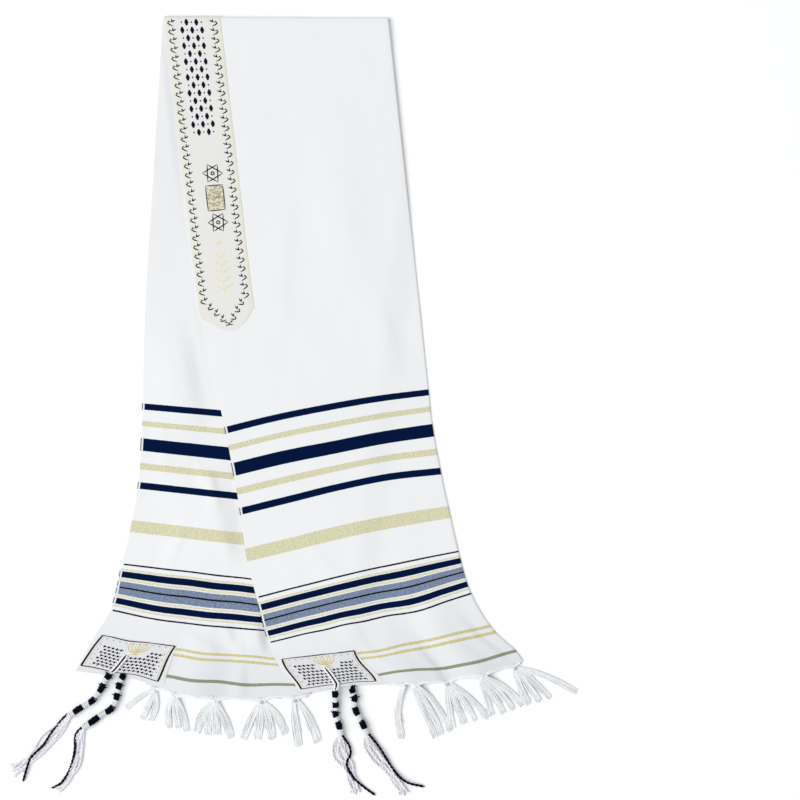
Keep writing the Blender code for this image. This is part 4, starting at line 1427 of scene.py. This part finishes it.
def use_group(tree, group, **values):
    """Place a group in a material, with its own values."""
    node = tree.nodes.new("ShaderNodeGroup")
    node.node_tree = group
    for label, value in values.items():
        socket = node.inputs[label.replace("_", " ")]
        if isinstance(value, bpy.types.NodeSocket):
            tree.links.new(value, socket)
        else:
            socket.default_value = value
    return node.outputs[0]


def add_bump(tree, shader, height, strength, distance):
    """Let a height change how the light falls."""
    bump = tree.nodes.new("ShaderNodeBump")
    bump.inputs["Strength"].default_value = strength
    bump.inputs["Distance"].default_value = distance
    tree.links.new(height, bump.inputs["Height"])
    tree.links.new(bump.outputs[0], shader.inputs["Normal"])


print("groups to use:", stripe_group.name, weave_group.name, yarn_group.name)

# %% Paint the cloth
woven, tree, shader = new_material("Striped wool", 0.85)
place = tree.nodes.new("ShaderNodeUVMap").outputs[0]
axes = tree.nodes.new("ShaderNodeSeparateXYZ")
tree.links.new(place, axes.inputs[0])
along = maths(tree, "MINIMUM", axes.outputs[1], maths(tree, "SUBTRACT", PANEL_LENGTH * MM, axes.outputs[1]))
other_way = maths(tree, "SUBTRACT", PANEL_WIDTH * MM, axes.outputs[0])
to_edge = maths(tree, "MINIMUM", axes.outputs[0], other_way)
uneven = tree.nodes.new("ShaderNodeTexNoise")
uneven.inputs["Scale"].default_value = 260.0
tree.links.new(place, uneven.inputs["Vector"])
wobble = maths(tree, "MULTIPLY", maths(tree, "SUBTRACT", uneven.outputs[0], 0.5), 0.0007)
position = maths(tree, "ADD", along, wobble)
past_edge = maths(tree, "SUBTRACT", maths(tree, "ADD", to_edge, wobble), 0.0026)
off_edge = maths(tree, "DIVIDE", past_edge, 0.0006)
off_edge.node.use_clamp = True
# Painted shade: the white fades to the greyer colour towards both ends of the panel.
painted_shade_fade = maths(tree, "DIVIDE", along, PAINTED_SHADE_REACH)
painted_shade_fade.node.use_clamp = True
shaded_ground = blend(tree, painted_shade_fade, PAINTED_SHADE_WHITE, WHITE)
colour = use_group(tree, yarn_group, Place=place, Colour=shaded_ground, Scale=500.0, Stretch=1.0, Amount=0.02)
metal = 0.0
for name, centre, width, yarn in STRIPES:
    tint, change, specks, shine = YARNS[yarn]
    mask = use_group(tree, stripe_group, Position=position, Centre=centre * MM, Width=width * MM)
    if yarn in ("navy", "chambray", "ink"):
        mask = maths(tree, "MULTIPLY", mask, off_edge)
    thread = use_group(tree, yarn_group, Place=place, Colour=tint, Scale=float(specks), Amount=change)
    colour = blend(tree, mask, colour, thread)
    if shine:
        metal = maths(tree, "ADD", metal, maths(tree, "MULTIPLY", mask, shine))
tree.links.new(colour, shader.inputs["Base Color"])
tree.links.new(metal, shader.inputs["Metallic"])
add_bump(tree, shader, use_group(tree, weave_group, Place=place, Pitch=0.0009), 0.25, 0.0003)
cloth.data.materials.append(woven)
print("stripes painted:", len(STRIPES))

# %% [markdown]
# ## The other finishes
#
# The neckband is cream, a little yellower at its edges. The patches are a greyer weave with paler
# edges. Threads are white, navy, grey, black, golden, tan or straw. All of them get the spun-yarn
# tint, so that none is one flat colour, and two small functions make them all.

# %% Finish the ribbon weaves
def woven_material(name, colour, edge_colour, width, pitch, roughness=0.8):
    """A plain ribbon whose edges may have another tint."""
    material, tree, shader = new_material(name, roughness)
    place = tree.nodes.new("ShaderNodeUVMap").outputs[0]
    axes = tree.nodes.new("ShaderNodeSeparateXYZ")
    tree.links.new(place, axes.inputs[0])
    to_edge = maths(tree, "MINIMUM", axes.outputs[0], maths(tree, "SUBTRACT", width * MM, axes.outputs[0]))
    near = maths(tree, "SUBTRACT", 1.0, maths(tree, "DIVIDE", to_edge, 0.012))
    near.node.use_clamp = True
    base = blend(tree, near, colour, edge_colour)
    tinted = use_group(tree, yarn_group, Place=place, Colour=base, Scale=420.0, Stretch=1.0, Amount=0.04)
    tree.links.new(tinted, shader.inputs["Base Color"])
    add_bump(tree, shader, use_group(tree, weave_group, Place=place, Pitch=pitch), 0.3, 0.0003)
    return material


cream = woven_material(
    "Neckband weave", (0.77, 0.76, 0.735, 1), (0.77, 0.755, 0.66, 1), BAND_WIDTH, 0.0007)
grey_weave = woven_material(
    "Patch weave", (0.72, 0.72, 0.735, 1), (0.80, 0.805, 0.81, 1), PATCH_WIDTH, 0.0006)
print("ribbon weaves:", cream.name, grey_weave.name)


# %% Finish the threads
def thread_material(name, colour, amount, metallic=0.0, roughness=0.8):
    """Spun thread, tinted by its place in space."""
    material, tree, shader = new_material(name, roughness)
    place = tree.nodes.new("ShaderNodeTexCoord").outputs["Object"]
    tinted = use_group(
        tree, yarn_group, Place=place, Colour=colour, Scale=350.0, Stretch=1.0, Amount=amount)
    tree.links.new(tinted, shader.inputs["Base Color"])
    shader.inputs["Metallic"].default_value = metallic
    return material


white_thread = thread_material("White thread", (0.90, 0.90, 0.915, 1), 0.04)
fringe_thread = thread_material("Fringe thread", (0.84, 0.86, 0.866, 1), 0.06)
# Painted shade: the tassel's knots and strands get a darker copy of the white cord, for the shade among
# their turns.
shaded_tassel_thread = thread_material("Tassel thread with painted shade", (0.79, 0.785, 0.82, 1), 0.08)
tassel_navy = thread_material("Tassel navy", (0.002, 0.004, 0.013, 1), 0.3)
navy_thread = thread_material("Navy thread", (0.003, 0.008, 0.030, 1), 0.3)
grey_thread = thread_material("Grey thread", (0.022, 0.023, 0.028, 1), 0.2)
black_thread = thread_material("Black thread", (0.010, 0.010, 0.014, 1), 0.2)
gold_thread = thread_material("Gold thread", (0.66, 0.54, 0.24, 1), 0.15, metallic=0.3, roughness=0.5)
pale_gold_thread = thread_material(
    "Pale gold thread", (0.78, 0.73, 0.46, 1), 0.12, metallic=0.2, roughness=0.5)
tan_thread = thread_material("Tan thread", (0.44, 0.385, 0.28, 1), 0.25)
straw_thread = thread_material("Straw thread", (0.74, 0.69, 0.54, 1), 0.2)
print("materials:", len(bpy.data.materials))

# %% Give each piece its finish
neckband.data.materials.append(cream)
for material in (grey_thread, navy_thread, pale_gold_thread, tan_thread, straw_thread):
    band_pattern.data.materials.append(material)
band_seam.data.materials.append(white_thread)
for corner in CORNERS:
    patches[corner].data.materials.append(grey_weave)
    for material in (black_thread, gold_thread, white_thread):
        patch_patterns[corner].data.materials.append(material)
    patch_seams[corner].data.materials.append(white_thread)
    fringes[corner].data.materials.append(fringe_thread)
    for material in (white_thread, tassel_navy, shaded_tassel_thread):
        tassels[corner].data.materials.append(material)
for tail in loops:
    loops[tail].data.materials.append(navy_thread)
print("threads in the neckband's pattern:", [m.name for m in band_pattern.data.materials])

# %% [markdown]
# ## Tie the pieces to the part
#
# Every piece rides on the shawl's one body and takes the place of the plain solid it dresses. All of
# the panel is here, hidden layers too.

def dress(piece, node):
    """The piece rides on the body and stands for a solid."""
    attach(piece, "root")
    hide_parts(node)


dress(cloth, "shawl_cloth")
dress(neckband, "neckband")
dress(band_pattern, "neckband")
dress(band_seam, "neckband")
for corner in CORNERS:
    dress(patches[corner], "corner_patch_" + corner)
    dress(patch_patterns[corner], "corner_patch_" + corner)
    dress(patch_seams[corner], "corner_patch_" + corner)
    dress(fringes[corner], "fringe_" + corner)
    dress(tassels[corner], "tassel_" + corner)
for tail in loops:
    dress(loops[tail], "shawl_cloth")

# %% [markdown]
# ## Table, light and camera
#
# The shawl is seen from straight above on a white table, in light so soft that shadows show only
# where pieces touch. A bright, even sky gives that light; a lamp as wide as a room, from the left,
# adds just enough direction for the ridges and creases to read. Two studio lamps would cast two
# shadows, and cloth this flat shows every one of them.

# %% Set the table
bpy.ops.object.select_all(action="DESELECT")
bpy.ops.mesh.primitive_plane_add(size=14, location=(0, 0, 0))
table = bpy.context.active_object
table.name = "table"
paper = bpy.data.materials.new("White table")
paper.use_nodes = True
paper.node_tree.nodes["Principled BSDF"].inputs["Base Color"].default_value = (0.985, 0.985, 0.985, 1)
paper.node_tree.nodes["Principled BSDF"].inputs["Roughness"].default_value = 0.9
table.data.materials.append(paper)
print("table:", [round(v, 1) for v in table.dimensions.xy], "m")

# %% Light it softly
world = bpy.data.worlds.new("Soft light")
bpy.context.scene.world = world
world.use_nodes = True
world.node_tree.nodes["Background"].inputs["Color"].default_value = (0.97, 0.985, 1.0, 1)
world.node_tree.nodes["Background"].inputs["Strength"].default_value = 0.60

lamp_data = bpy.data.lights.new("Wide lamp", "AREA")
lamp_data.shape = "SQUARE"
lamp_data.size = 8.0
lamp_data.energy = 735.0
lamp = bpy.data.objects.new("Wide lamp", lamp_data)
lamp.location = (-6.3, -1.2, 7.3)
lamp.rotation_euler = (Vector((0, 0, 0)) - lamp.location).to_track_quat("-Z", "Y").to_euler()
bpy.context.scene.collection.objects.link(lamp)
print("lamp:", lamp_data.size, "m wide,", lamp_data.energy, "W")

# %% Look from straight above
camera_data = bpy.data.cameras.new("Camera above")
camera_data.sensor_width = 36.0
camera_data.lens = 134.1
camera = bpy.data.objects.new("Camera above", camera_data)
camera.location = (0.1463, 0.0094, 4.0)
bpy.context.scene.collection.objects.link(camera)
bpy.context.scene.camera = camera
bpy.context.scene.view_settings.view_transform = "Standard"
bpy.context.scene.view_settings.look = "None"
print("camera:", [round(v, 2) for v in camera.location], "lens", camera_data.lens, "mm")
